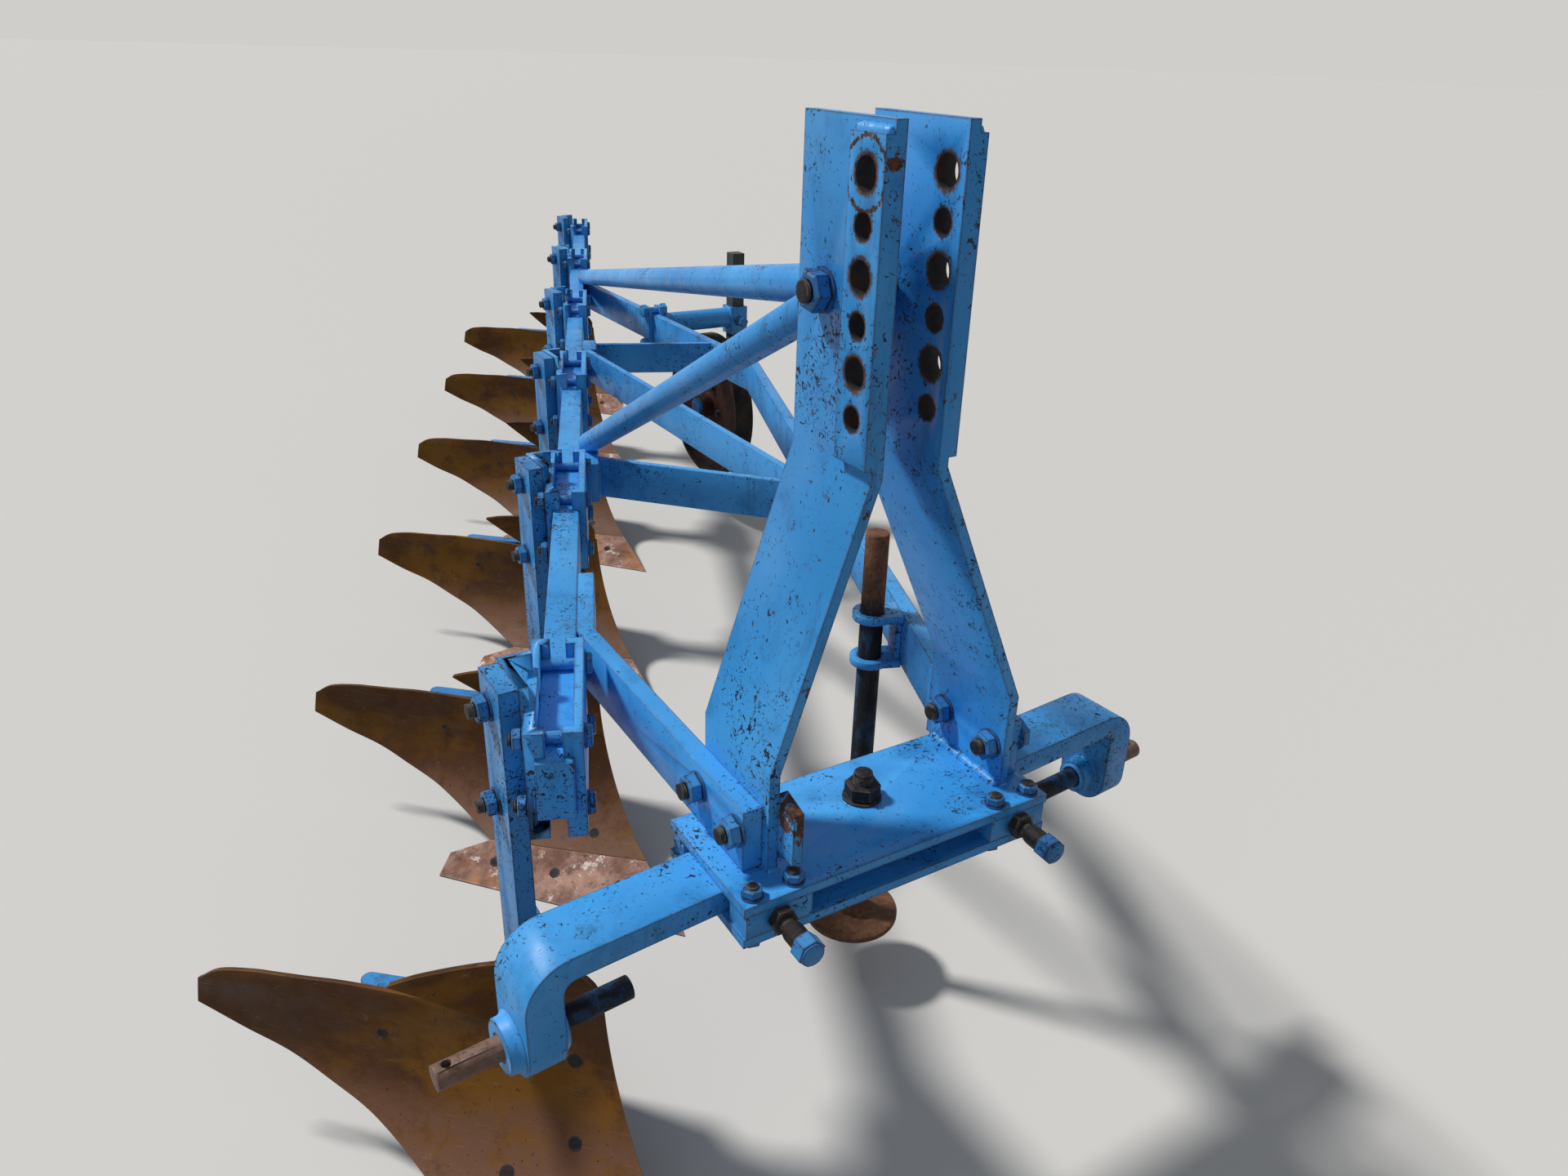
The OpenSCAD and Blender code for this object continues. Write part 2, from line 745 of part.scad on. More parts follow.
// Turns +Z along the line from p to q
module along_line(p, q) {
    d = q - p;
    translate(p) rotate([0, acos(d.z / norm(d)), atan2(d.y, d.x)]) children();
}

// A round brace from its eye on the brace bolt to its end, cut level with the beam's top
module round_brace(eye_x, q, tube, flat_l) {
    eye_t = 24;
    eye_r = 26;
    p = [eye_x, brace_bolt_y, brace_bolt_z];
    difference() {
        union() {
            translate([0, brace_bolt_y, brace_bolt_z]) rod_x(eye_r, eye_x - eye_t / 2, eye_x + eye_t / 2);
            along_line(p, q) {
                translate([-tube, 1 - eye_t / 2, 0]) cube([2 * tube, eye_t - 2, flat_l]);
                translate([0, 0, flat_l - 20]) cylinder(r = tube, h = norm(q - p) - flat_l + 20);
            }
        }
        translate([0, brace_bolt_y, brace_bolt_z]) rod_x(brace_bolt_r + fit_gap, eye_x - eye_t, eye_x + eye_t);
        translate([-past, -past, beam_top - past]) cube([2 * past, 2 * past, past]);
    }
}

eye_left = 19.5;
eye_right = 8;
module brace_lower() {
    q = on_beam(beam_far + pad_w / 2, pads[0][1] - 20);
    place() color(blue) round_brace(top_x - eye_left, [q.x, q.y, beam_top + 10], tube_r, 100);
}

module brace_upper() {
    place() color(blue) round_brace(top_x + eye_right, [long_end.x, long_end.y - 10, beam_top + 14], upper_tube_r, 150);
}

module brace_bolt() {
    place() color(blue) translate([0, brace_bolt_y, brace_bolt_z])
        bolt_x(brace_bolt_r, top_x - head_gap / 2 - head_t, top_x + head_gap / 2 + head_t, 4);
}

module hitch_plate(z) {
    difference() {
        translate([hitch_x - box_l / 2, -box_front, z]) cube([box_l, box_w, box_t]);
        hitch_holes(hitch_bolt_r + bolt_gap, pivot_r + fit_gap);
    }
}

// Upright holes of the hitch box: two bolts at each end in front, and the pivot
module hitch_holes(r, pr) {
    for (s = [-1, 1], b = [-1, 1])
        translate([hitch_x + s * (box_l / 2 - spacer_in - spacer_l / 2) + b * bolt_spread, front_bolt_y, 0])
            cylinder(r = r, h = past);
    translate([pivot_x, -pivot_front, 0]) cylinder(r = pr, h = past);
}

module hitch_top() {
    place() color(blue) hitch_plate(box_top - box_t);
}

module hitch_bottom() {
    place() color(blue) hitch_plate(box_low);
}

// The front block at each end carries two bolts and the set screw between them
module hitch_spacers() {
    place() color(blue) {
        difference() {
            for (s = [-1, 1])
                translate([hitch_x + s * (box_l / 2 - spacer_in - spacer_l / 2) - spacer_l / 2, -box_front, slot_z])
                    cube([spacer_l, spacer_w, slot_h]);
            hitch_holes(hitch_bolt_r + bolt_gap, 1);
            for (s = [-1, 1]) screw_place(s) cylinder(r = screw_r + fit_gap, h = 200, center = true);
        }
        translate([hitch_x - box_l / 2 + spacer_in, -box_front + box_w - 30, slot_z]) cube([40, 28, slot_h]);
        translate([hitch_x + box_l / 2 - spacer_in - 40, -box_front + box_w - 14, slot_z]) cube([40, 12, slot_h]);
    }
}

// +Z points forward out of the hitch box, from the block's front face
module screw_place(s) {
    translate([hitch_x + s * (box_l / 2 - spacer_in - spacer_l / 2), -box_front, slot_z + slot_h / 2])
        rotate([90, 0, 0]) children();
}

module hitch_bolts() {
    pivot_tail = 8;
    screw_out = 48;
    place() color(rust) {
        for (s = [-1, 1], b = [-1, 1])
            translate([hitch_x + s * (box_l / 2 - spacer_in - spacer_l / 2) + b * bolt_spread, front_bolt_y, 0])
                bolt_z(hitch_bolt_r, box_low, box_top, 2);
        translate([pivot_x, -pivot_front, 0]) bolt_z(pivot_r, box_low, box_top, pivot_tail);
        for (s = [-1, 1]) screw_place(s) {
            translate([0, 0, -spacer_w]) cylinder(r = screw_r, h = spacer_w + screw_out);
            translate([0, 0, face_gap]) cylinder(r = 1.85 * screw_r, h = 14, $fn = 6);
            translate([0, 0, screw_out]) cylinder(r = 1.85 * screw_r, h = 20, $fn = 6);
        }
    }
}

// Everything that turns with the cross shaft, drawn with the pivot at x = 0 and y = 0
module on_shaft() {
    translate([pivot_x, -pivot_front, 0]) rotate([0, 0, shaft_turn]) children();
}

function arc(c, r, a0, a1, n) = [for (i = [0:n]) let (a = a0 + (a1 - a0) * i / n) c + r * [cos(a), sin(a)]];

boss_r = 24;
boss_out = 15;
boss_in = 22;

// Cranked outline of the cross shaft seen from the front
module shaft_outline() {
    hi = shaft_z + shaft_t;
    inner_r = 15;
    low = link_pin_z - shaft_w / 2;
    polygon(concat(
        arc([-left_reach + arm_bend_r, hi - arm_bend_r], arm_bend_r, 180, 90, 10),
        arc([right_reach - arm_bend_r, hi - arm_bend_r], arm_bend_r, 90, 0, 10),
        [[right_reach, low], [right_reach - arm_t, low]],
        arc([right_reach - arm_t - inner_r, shaft_z - inner_r], inner_r, 0, 90, 5),
        arc([-left_reach + arm_t + inner_r, shaft_z - inner_r], inner_r, 90, 180, 5),
        [[-left_reach + arm_t, low], [-left_reach, low]]));
}

module cross_shaft() {
    place() color(blue) on_shaft() difference() {
        union() {
            intersection() {
                translate([0, shaft_w / 2, 0]) rotate([90, 0, 0]) linear_extrude(shaft_w) shaft_outline();
                union() {
                    translate([-past, -shaft_w / 2, link_pin_z]) cube([2 * past, shaft_w, past]);
                    translate([0, 0, link_pin_z]) rod_x(shaft_w / 2, -past, past);
                }
            }
            translate([0, 0, link_pin_z]) {
                rod_x(boss_r, -left_reach - boss_out, -left_reach + 5);
                rod_x(boss_r, right_reach - arm_t - boss_in, right_reach - arm_t + 5);
            }
        }
        translate([0, 0, link_pin_z]) {
            rod_x(link_pin_r + pin_step + fit_gap, -left_reach - boss_out - 5, -left_reach + arm_t + 10);
            rod_x(link_pin_r + pin_step + fit_gap, right_reach - arm_t - boss_in - 5, right_reach + 10);
        }
        cylinder(r = pivot_r + fit_gap, h = past);
    }
}

// Each pin runs through its arm, with a hole for a linch pin at its outer end
module link_pins() {
    place() color(rust) on_shaft() translate([0, 0, link_pin_z]) difference() {
        union() {
            rod_x(link_pin_r, -left_reach - boss_out - pin_out, -left_reach + arm_t + pin_in);
            rod_x(link_pin_r, right_reach - arm_t - pin_in, right_reach + pin_out);
            rod_x(link_pin_r + pin_step, -left_reach - boss_out, -left_reach + arm_t);
            rod_x(link_pin_r + pin_step, right_reach - arm_t - boss_in, right_reach);
        }
        for (x = [-left_reach - boss_out - pin_out + 14, right_reach + pin_out - 14])
            translate([x, 0, -30]) cylinder(r = linch_r, h = 60);
    }
}

// The stand hangs beside the long bar, between two lugs on a web
lug_t = 12;
lug_zs = [beam_z - 4, beam_top - 10];
stand_at = on_long_bar(-stand_front) - (bar_t / 2 + stand_off) * [cos(long_angle), -sin(long_angle)];

module at_stand() {
    translate([stand_at.x, stand_at.y, 0]) rotate([0, 0, -long_angle]) children();
}

module stand_bracket() {
    place() color(blue) at_stand() difference() {
        union() {
            for (z = lug_zs) translate([0, 0, z]) linear_extrude(lug_t) {
                circle(r = stand_r + 12);
                translate([0, -stand_r - 8]) square([stand_off - face_gap, 2 * stand_r + 16]);
            }
            translate([stand_off - 10 - face_gap, -stand_r, lug_zs[0] + 1]) cube([10, 2 * stand_r, lug_zs[1] - lug_zs[0]]);
        }
        cylinder(r = stand_r + 2 * fit_gap, h = past);
    }
}

module stand() {
    place() color(rust) at_stand() {
        translate([0, 0, stand_lift + 5]) cylinder(r = stand_r, h = stand_top - stand_lift - 5);
        translate([0, 0, stand_lift]) cylinder(r = stand_foot_r, h = 10);
        translate([0, 0, stand_lift + 9]) cylinder(r = stand_r + 8, h = 30);
    }
}

wheel_clamp_w = 40;
wheel_clamp_zs = [beam_z - 10.5, beam_top + 10.5];
wheel_clamp_t = 12;
sleeve_w = mast_w + 16;
sleeve_z = [600, 684];

module wheel_clamp_place() {
    translate([long_bar_x, wheel_arm_y, 0]) children();
}

// Clamp on the long bar, the arm and the sleeve that holds the mast
module wheel_arm() {
    lip = 22;
    x1 = bar_t / 2;
    slide_gap = 0.4;
    place() color(blue) wheel_clamp_place() {
        difference() {
            union() {
                for (x = [-x1 - wheel_clamp_t - face_gap, x1 + face_gap]) translate([x, -wheel_clamp_w / 2, beam_z - lip])
                    cube([wheel_clamp_t, wheel_clamp_w, beam_h + 2 * lip]);
                for (z = wheel_clamp_zs) translate([0, 0, z]) {
                    rod_x(10, -x1 - wheel_clamp_t - 1, x1 + wheel_clamp_t + 1);
                    hex_x(18.5, -x1 - wheel_clamp_t - 14, -x1 - wheel_clamp_t);
                    hex_x(18.5, x1 + wheel_clamp_t, x1 + wheel_clamp_t + 14);
                }
                translate([0, 0, wheel_arm_z]) rod_x(wheel_arm_r, x1 + wheel_clamp_t - 1, mast_off);
                translate([mast_off - sleeve_w / 2, -sleeve_w / 2, sleeve_z[0]])
                    cube([sleeve_w, sleeve_w, sleeve_z[1] - sleeve_z[0]]);
            }
            translate([mast_off - mast_w / 2 - slide_gap, -mast_w / 2 - slide_gap, 500])
                cube([mast_w + 2 * slide_gap, mast_w + 2 * slide_gap, 300]);
        }
    }
}

module wheel_mast() {
    place() color(dark) wheel_clamp_place() {
        translate([mast_off - mast_w / 2, -mast_w / 2, wheel_z - 25])
            cube([mast_w, mast_w, mast_top - wheel_z + 25]);
        translate([0, 0, wheel_z]) {
            rod_x(axle_r, wheel_off - 55, mast_off);
            rod_x(axle_r + 8, wheel_off + 42, mast_off);
            rod_x(axle_r + 8, wheel_off - 55, wheel_off - 42);
        }
    }
}

// Rim, dish and hub in one round profile
module depth_wheel() {
    rim_t = 12;
    dish_t = 8;
    hub_r = 38;
    hub_w = 82;
    place() color(dark) wheel_clamp_place() translate([wheel_off, 0, wheel_z]) rotate([0, 90, 0])
        rotate_extrude($fn = 96) polygon([
            [axle_r + fit_gap, -hub_w / 2], [hub_r, -hub_w / 2], [hub_r, -dish_t],
            [wheel_r - rim_t, -dish_t], [wheel_r - rim_t, -wheel_w / 2], [wheel_r, -wheel_w / 2],
            [wheel_r, wheel_w / 2], [wheel_r - rim_t, wheel_w / 2], [wheel_r - rim_t, dish_t],
            [hub_r, dish_t], [hub_r, hub_w / 2], [axle_r + fit_gap, hub_w / 2]]);
}

beam();
for (k = [1:BODIES]) {
    bracket(k);
    leg(k);
    frog(k);
    share(k);
    mouldboard(k);
}
clamp_plates();
clamp_bolts();
leg_bolts();
landsides();
trashboards();
front_brace();
long_bar();
strut_front();
strut_rear();
diagonal();
beam_pads();
headstock_left();
headstock_right();
brace_lower();
brace_upper();
brace_bolt();
foot_bolts();
hitch_top();
hitch_bottom();
hitch_spacers();
hitch_bolts();
cross_shaft();
link_pins();
stand_bracket();
stand();
wheel_arm();
wheel_mast();
depth_wheel();
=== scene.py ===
import math

import bmesh
import bpy
from mathutils import Matrix, Vector, noise


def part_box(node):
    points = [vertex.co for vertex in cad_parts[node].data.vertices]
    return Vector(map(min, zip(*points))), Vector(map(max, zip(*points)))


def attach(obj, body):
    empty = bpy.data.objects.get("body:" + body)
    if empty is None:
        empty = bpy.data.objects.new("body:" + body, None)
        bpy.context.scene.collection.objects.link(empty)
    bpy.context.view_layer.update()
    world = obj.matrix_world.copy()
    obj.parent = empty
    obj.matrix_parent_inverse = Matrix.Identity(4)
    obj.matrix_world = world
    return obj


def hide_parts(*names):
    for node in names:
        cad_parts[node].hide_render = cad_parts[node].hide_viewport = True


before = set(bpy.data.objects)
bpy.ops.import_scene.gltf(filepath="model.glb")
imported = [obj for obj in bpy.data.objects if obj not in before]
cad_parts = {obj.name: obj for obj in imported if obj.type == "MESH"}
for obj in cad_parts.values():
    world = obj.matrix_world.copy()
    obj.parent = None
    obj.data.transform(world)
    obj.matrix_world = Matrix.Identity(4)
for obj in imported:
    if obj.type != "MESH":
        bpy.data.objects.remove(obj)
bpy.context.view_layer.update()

# ---------------------------------------------------------------- layout
# Millimetres in the layout's own frame, with the values of the part's source. Y runs against the
# travel, X towards the unploughed land, and each body's own frame starts at its leg.
BODIES = range(1, 7)
FURROW_W, BODY_STEP = 292.5, 711.5                          # from one body to the next, along X and Y
LEG_W, LEG_T, LEG_PLATE_T, WEB_T = 75, 25, 12, 22           # legs, and what their bolts hold
BEAM_OFF, BEAM_W, BEAM_Z, CLAMP_T, PAD_W = 69, 45, 602, 12, 36
# worked faces: the shin's line and arc, and the turn of the rows, which grows up to TWIST_MAX
SHIN_X, REACH, SHARE_H, SLOPE, SHIN_R = 74.0, 537.0, 55.0, math.radians(18.4), 290.0
EDGE_TURN, TWIST, TWIST_H, TWIST_MAX = 41.8, 6.2, 207, 1.2
BACK = SHARE_H / math.tan(SLOPE) - REACH
BOARD_T, SHARE_T = 8, 10
# headstock: its plates stand HEAD_HALF to both sides of TOP_X, with strips round the top link's holes
TOP_X, HEAD_HALF, HEAD_FRONT, HEAD_T, BAR_T = 361, 48, -355, 13, 25
LEFT_FOOT, RIGHT_FOOT = 218, 544
HOLE_Y, HOLE_Z, HOLE_PITCH, HOLE_ROWS = -327, 1334, 91.5, 3
STRIP_LOW, STRIP_HIGH, STRIP_BACK = 1058, 1370, -299
# hitch box and cross shaft
BOX_TOP, BOX_LOW, BOX_FRONT, BOX_X = 600, 545.6, -396, 370
PIVOT, SHAFT_Z, SHAFT_TURN = (380, -288), 572.8, math.radians(4.6)
PIN_Z, LEFT_ARM, RIGHT_ARM, ARM_T, COLLAR_T = 470, 469, 479, 44, 22
# long bar, which slants from LONG_FROM to LONG_KINK, and the depth wheel's arm and mast
LONG_X, LONG_FROM, LONG_KINK, LONG_SIDE = 1148, (569.55, -210), 1335, 13
ARM_Y, ARM_Z, WHEEL_OFF, WHEEL_Z, MAST_OFF = 1940, 650, 197, 375, 282

STEP = Vector((FURROW_W / 1000, BODY_STEP / 1000, 0))
BEAM_TURN = math.atan2(FURROW_W, BODY_STEP)
leg_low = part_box("leg_1")[0]
OFF = Vector((leg_low.x, leg_low.y + LEG_W / 1000, 0))
across = Vector((math.cos(BEAM_TURN), -math.sin(BEAM_TURN), 0))
along = Vector((math.sin(BEAM_TURN), math.cos(BEAM_TURN), 0))
shaft_axis = Vector((math.cos(SHAFT_TURN), math.sin(SHAFT_TURN), 0))
UP = Vector((0, 0, 1))


def at(x, y, z):
    """Layout millimetres to the row frame."""
    return OFF + Vector((x, y, z)) / 1000


def body_at(k, x=0.0, y=0.0, z=0.0):
    """Point of body k's frame, in millimetres."""
    return OFF + STEP * (k - 1) + Vector((x, y, z)) / 1000


def on_beam(k, a, l, z):
    """Point near body k, across and along the beam, in millimetres."""
    return body_at(k) + (across * a + along * l + UP * z) / 1000


def on_shaft(x, y, z):
    """Point of the cross shaft, which stands a little turned on its pivot."""
    c, s = math.cos(SHAFT_TURN), math.sin(SHAFT_TURN)
    return at(PIVOT[0] + x * c - y * s, PIVOT[1] + x * s + y * c, z)


axle = at(LONG_X + WHEEL_OFF, ARM_Y, WHEEL_Z)


def shin_angle(z):
    """Slope of the shin: straight up to the share's top, then an arc."""
    return SLOPE if z <= SHARE_H else math.acos(math.cos(SLOPE) - (z - SHARE_H) / SHIN_R)


def shin_y(z):
    """Y of the shin at a height."""
    if z <= SHARE_H:
        return z / math.tan(SLOPE) - REACH
    return BACK + SHIN_R * (math.sin(shin_angle(z)) - math.sin(SLOPE))


def turn(z):
    """Angle of the worked face's rows to the travel, which grows with the height."""
    return math.radians(EDGE_TURN + TWIST * min(TWIST_MAX, z / TWIST_H))


def face(u, z):
    """Point of the worked face at a distance u from the shin, in millimetres."""
    return Vector((SHIN_X - u, shin_y(z) + u / math.tan(turn(z)), z))


def face_normal(z):
    """Normal of the shin's curve, turned with the row; the sheets' thickness follows it."""
    shin, t = shin_angle(z), turn(z)
    tilt = math.atan2(math.sin(shin), math.cos(shin) * math.sin(t))
    return Vector((-math.cos(t) * math.sin(tilt), -math.sin(t) * math.sin(tilt), math.cos(tilt)))


def behind(u, z, t):
    """Point t behind the worked face, kept on the shin's side plane and above the ground."""
    p = face(u, z) - face_normal(z) * t
    over = max(0.0, p.x - SHIN_X)
    return Vector((p.x - over, p.y + over / math.tan(turn(z)), max(0.0, p.z)))


# ---------------------------------------------------------------- materials
FLAT, SHARP = 0.995, 0.85                       # cosines between a rounded normal and the face's


class Nodes:
    """A material of procedural nodes in the object's coordinates."""

    def __init__(self, name):
        self.mat = bpy.data.materials.new(name)
        self.mat.use_nodes = True
        self.t = self.mat.node_tree
        self.t.nodes.clear()
        out = self.t.nodes.new("ShaderNodeOutputMaterial")
        self.bsdf = self.t.nodes.new("ShaderNodeBsdfPrincipled")
        self.link(self.bsdf.outputs[0], out.inputs[0])
        self.co = self.t.nodes.new("ShaderNodeTexCoord").outputs["Object"]

    def link(self, a, b):
        self.t.links.new(a, b)

    def noise(self, scale, detail, rough=0.6, stretch=None, shift=None, twist=0.0):
        n = self.t.nodes.new("ShaderNodeTexNoise")
        n.inputs["Distortion"].default_value = twist
        n.inputs["Scale"].default_value = scale
        n.inputs["Detail"].default_value = detail
        n.inputs["Roughness"].default_value = rough
        src = self.co
        if stretch or shift:
            m = self.t.nodes.new("ShaderNodeMapping")
            m.inputs["Scale"].default_value = stretch or (1, 1, 1)
            m.inputs["Location"].default_value = shift or (0, 0, 0)
            self.link(src, m.inputs["Vector"])
            src = m.outputs[0]
        self.link(src, n.inputs["Vector"])
        return n.outputs["Fac"]

    def ramp(self, fac, lo, hi, a=0.0, b=1.0):
        """Goes smoothly from a to b while fac goes from lo to hi."""
        m = self.t.nodes.new("ShaderNodeMapRange")
        m.interpolation_type = "SMOOTHSTEP"
        for k, v in (("From Min", lo), ("From Max", hi), ("To Min", a), ("To Max", b)):
            m.inputs[k].default_value = v
        self.link(fac, m.inputs["Value"])
        return m.outputs[0]

    def math(self, op, a, b=None, clamp=False):
        m = self.t.nodes.new("ShaderNodeMath")
        m.operation = op
        m.use_clamp = clamp
        for sock, v in zip(m.inputs, (a, b)):
            if isinstance(v, (int, float)):
                sock.default_value = v
            elif v is not None:
                self.link(v, sock)
        return m.outputs[0]

    def sum(self, *terms):
        """Sum of (socket, weight) pairs."""
        total = None
        for s, w in terms:
            part = s if w == 1 else self.math("MULTIPLY", s, w)
            total = part if total is None else self.math("ADD", total, part)
        return total

    def most(self, *terms):
        """The greatest of some sockets."""
        total = terms[0]
        for s in terms[1:]:
            total = self.math("MAXIMUM", total, s)
        return total

    def mix(self, fac, a, b):
        """Colour a where fac is 0 and b where it is 1."""
        m = self.t.nodes.new("ShaderNodeMix")
        m.data_type = "RGBA"
        for sock, v in ((m.inputs[0], fac), (m.inputs[6], a), (m.inputs[7], b)):
            if isinstance(v, tuple):
                sock.default_value = (*v, 1)
            else:
                self.link(v, sock)
        return m.outputs[2]

    def edge(self, radius):
        """1 near the piece's edges, 0 on its flats."""
        b = self.t.nodes.new("ShaderNodeBevel")
        b.samples = 4
        b.inputs["Radius"].default_value = radius
        g = self.t.nodes.new("ShaderNodeNewGeometry")
        d = self.t.nodes.new("ShaderNodeVectorMath")
        d.operation = "DOT_PRODUCT"
        self.link(b.outputs[0], d.inputs[0])
        self.link(g.outputs["Normal"], d.inputs[1])
        return self.ramp(d.outputs["Value"], FLAT, SHARP)

    def axis(self, name):
        s = self.t.nodes.new("ShaderNodeSeparateXYZ")
        self.link(self.co, s.inputs[0])
        return s.outputs[name]

    def to_holes(self, y, z, pitch, count):
        """Distance to the nearest of a column of holes that run along X."""
        up = self.axis("Z")
        k = self.math("ROUND", self.math("DIVIDE", self.math("SUBTRACT", z, up), pitch))
        k = self.math("MAXIMUM", self.math("MINIMUM", k, count - 1), 0)
        dz = self.math("ADD", self.math("SUBTRACT", up, z), self.math("MULTIPLY", k, pitch))
        dy = self.math("SUBTRACT", self.axis("Y"), y)
        return self.math("SQRT", self.sum((self.math("POWER", dy, 2), 1), (self.math("POWER", dz, 2), 1)))

    def bump(self, h, strength, dist):
        b = self.t.nodes.new("ShaderNodeBump")
        b.inputs["Strength"].default_value = strength
        b.inputs["Distance"].default_value = dist
        self.link(h, b.inputs["Height"])
        self.link(b.outputs[0], self.bsdf.inputs["Normal"])

    def done(self, colour, rough, metallic, spec):
        """The material, once its colour and roughness are wired in."""
        for name, v in (("Base Color", colour), ("Roughness", rough), ("Metallic", metallic)):
            if isinstance(v, (int, float)):
                self.bsdf.inputs[name].default_value = v
            else:
                self.link(v, self.bsdf.inputs[name])
        self.bsdf.inputs["Specular IOR Level"].default_value = spec
        return self.mat


COLLAR_R = 0.0325
RUST_DARK, RUST_LIGHT = (0.022, 0.011, 0.009), (0.125, 0.045, 0.020)
CHIP = (0.006, 0.011, 0.024)
GRIME, STAIN, BARE = (0.014, 0.070, 0.140), (0.018, 0.085, 0.185), (0.34, 0.32, 0.30)


def painted(name, light, mid, deep, spots=0.0, edge=1.0, grime=0.5, extra=None, after=None,
            rusts=(RUST_DARK, RUST_LIGHT)):
    """Brushed-on farm paint: uneven, chipped dark in clusters, worn to rust along its edges.

    spots, edge and grime make it more chipped, more worn at its edges and dirtier. extra(n) adds
    rust at set places, and after(n, colour) covers set places with other colours.
    """
    n = Nodes(name)
    base = n.mix(n.ramp(n.noise(2.3, 3), 0.36, 0.62), mid, light)
    base = n.mix(n.ramp(n.noise(13, 6, 0.65), 0.50, 0.72, 0, 0.5), base, deep)
    base = n.mix(n.ramp(n.noise(16, 8, 0.80, (1, 1, 0.16)), 0.54, 0.68, 0, grime), base, GRIME)
    cluster = n.ramp(n.noise(6.5, 5, 0.65, None, (3, 1, 7)), 0.38, 0.68, -0.060, 0.050)
    edges = n.edge(0.0045)
    fine = n.sum((n.noise(125, 5, 0.62, None, None, 1.6), 1), (cluster, 1), (edges, 0.05 * edge))
    specks = n.ramp(fine, 0.613 - spots, 0.624 - spots)
    broad = n.sum((n.noise(46, 9, 0.76, None, None, 0.6), 1), (cluster, 0.6), (edges, 0.06 * edge))
    flakes = n.ramp(broad, 0.645 - spots, 0.657 - spots)
    worn = n.sum((edges, 1), (n.noise(42, 7, 0.74), 1.9), (n.noise(6, 3), 1.1))
    worn = n.ramp(worn, 2.30 - 0.22 * edge, 2.40 - 0.22 * edge)
    rust = n.most(worn, flakes, *([extra(n)] if extra else []))
    brown = n.mix(n.ramp(n.noise(85, 6, 0.75), 0.42, 0.62), *rusts)
    bare = n.most(specks, rust)
    halo = n.most(n.ramp(fine, 0.590 - spots, 0.62 - spots, 0, 0.4),
                  n.ramp(broad, 0.60 - spots, 0.655 - spots, 0, 0.45))
    col = n.mix(halo, base, STAIN)
    col = n.mix(specks, col, CHIP)
    col = n.mix(rust, col, brown)
    if after:
        col = after(n, col)
    n.bump(n.sum((n.noise(330, 3), 0.22), (n.noise(40, 4), 0.5), (bare, -0.9)), 0.30, 0.0007)
    rough = n.sum((n.ramp(n.noise(15, 4), 0.3, 0.7, 0.34, 0.50), 1), (bare, 0.36))
    return n.done(col, rough, 0.0, 0.35)


def rusty(name, a, b, c, scale, bare, rough=(0.62, 0.9), metal=0.15, zone=None):
    """Rusty or blackened steel mottled in three colours, with bare metal on its edges.

    zone(n, colour) covers a part of the piece with other colours.
    """
    n = Nodes(name)
    m1 = n.ramp(n.noise(scale, 6, 0.7), 0.38, 0.64)
    m2 = n.ramp(n.noise(scale * 3.3, 5, 0.75), 0.5, 0.7)
    col = n.mix(m1, a, b)
    col = n.mix(m2, col, c)
    if zone:
        col = zone(n, col)
    shine = n.math("MULTIPLY", n.edge(0.004), n.ramp(n.noise(scale * 2, 4), 0.35, 0.6), True)
    col = n.mix(n.math("MULTIPLY", shine, bare), col, BARE)
    n.bump(n.math("ADD", n.noise(scale * 6, 5, 0.7), n.math("MULTIPLY", m2, 0.6)), 0.5, 0.0008)
    return n.done(col, n.ramp(n.noise(scale, 4), 0.3, 0.7, *rough), metal, 0.25)


def holes_of(n):
    """Distances to the large holes, the small ones and the top one of the top link's column."""
    p = at(0, HOLE_Y, HOLE_Z)
    pitch = HOLE_PITCH / 1000
    return (n.to_holes(p.y, p.z, pitch, HOLE_ROWS), n.to_holes(p.y, p.z - pitch / 2, pitch, HOLE_ROWS),
            n.to_holes(p.y, p.z, pitch, 1))


def head_marks(n):
    """Rust round the holes, a ring that a collar wore by the top one, and rust at the feet and edges."""
    large, small, top = holes_of(n)
    jitter = n.math("SUBTRACT", n.noise(190, 5, 0.7), 0.5)
    rims = n.most(n.ramp(n.sum((large, 1), (jitter, 0.012)), 0.0228, 0.0172),
                  n.ramp(n.sum((small, 1), (jitter, 0.009)), 0.0165, 0.0137))
    off_ring = n.math("ABSOLUTE", n.math("SUBTRACT", top, COLLAR_R))
    ring = n.ramp(n.sum((off_ring, 1), (jitter, 0.018)), 0.0030, 0.0012)
    outer_face = n.ramp(n.axis("X"), at(303.6, 0, 0).x, at(303.2, 0, 0).x)
    ring = n.math("MULTIPLY", ring, outer_face)
    feet = n.sum((n.ramp(n.axis("Z"), 0.72, 0.60), 0.16), (n.noise(75, 7, 0.75), 1))
    front = n.ramp(n.axis("Y"), at(0, HEAD_FRONT + 20, 0).y, at(0, HEAD_FRONT, 0).y)
    patch = n.sum((front, 0.17), (n.noise(17, 8, 0.72, None, (2, 5, 1)), 1))
    before = n.ramp(n.axis("Y"), at(0, HEAD_FRONT, 0).y, at(0, HEAD_FRONT - 5, 0).y)
    tab_top = n.math("MULTIPLY", before, n.ramp(n.axis("Z"), 0.640, 0.675))
    tab_rust = n.sum((tab_top, 0.22), (n.noise(60, 7, 0.75), 1))
    return n.most(rims, ring, n.ramp(feet, 0.735, 0.765), n.ramp(patch, 0.765, 0.785),
                  n.ramp(tab_rust, 0.62, 0.65))


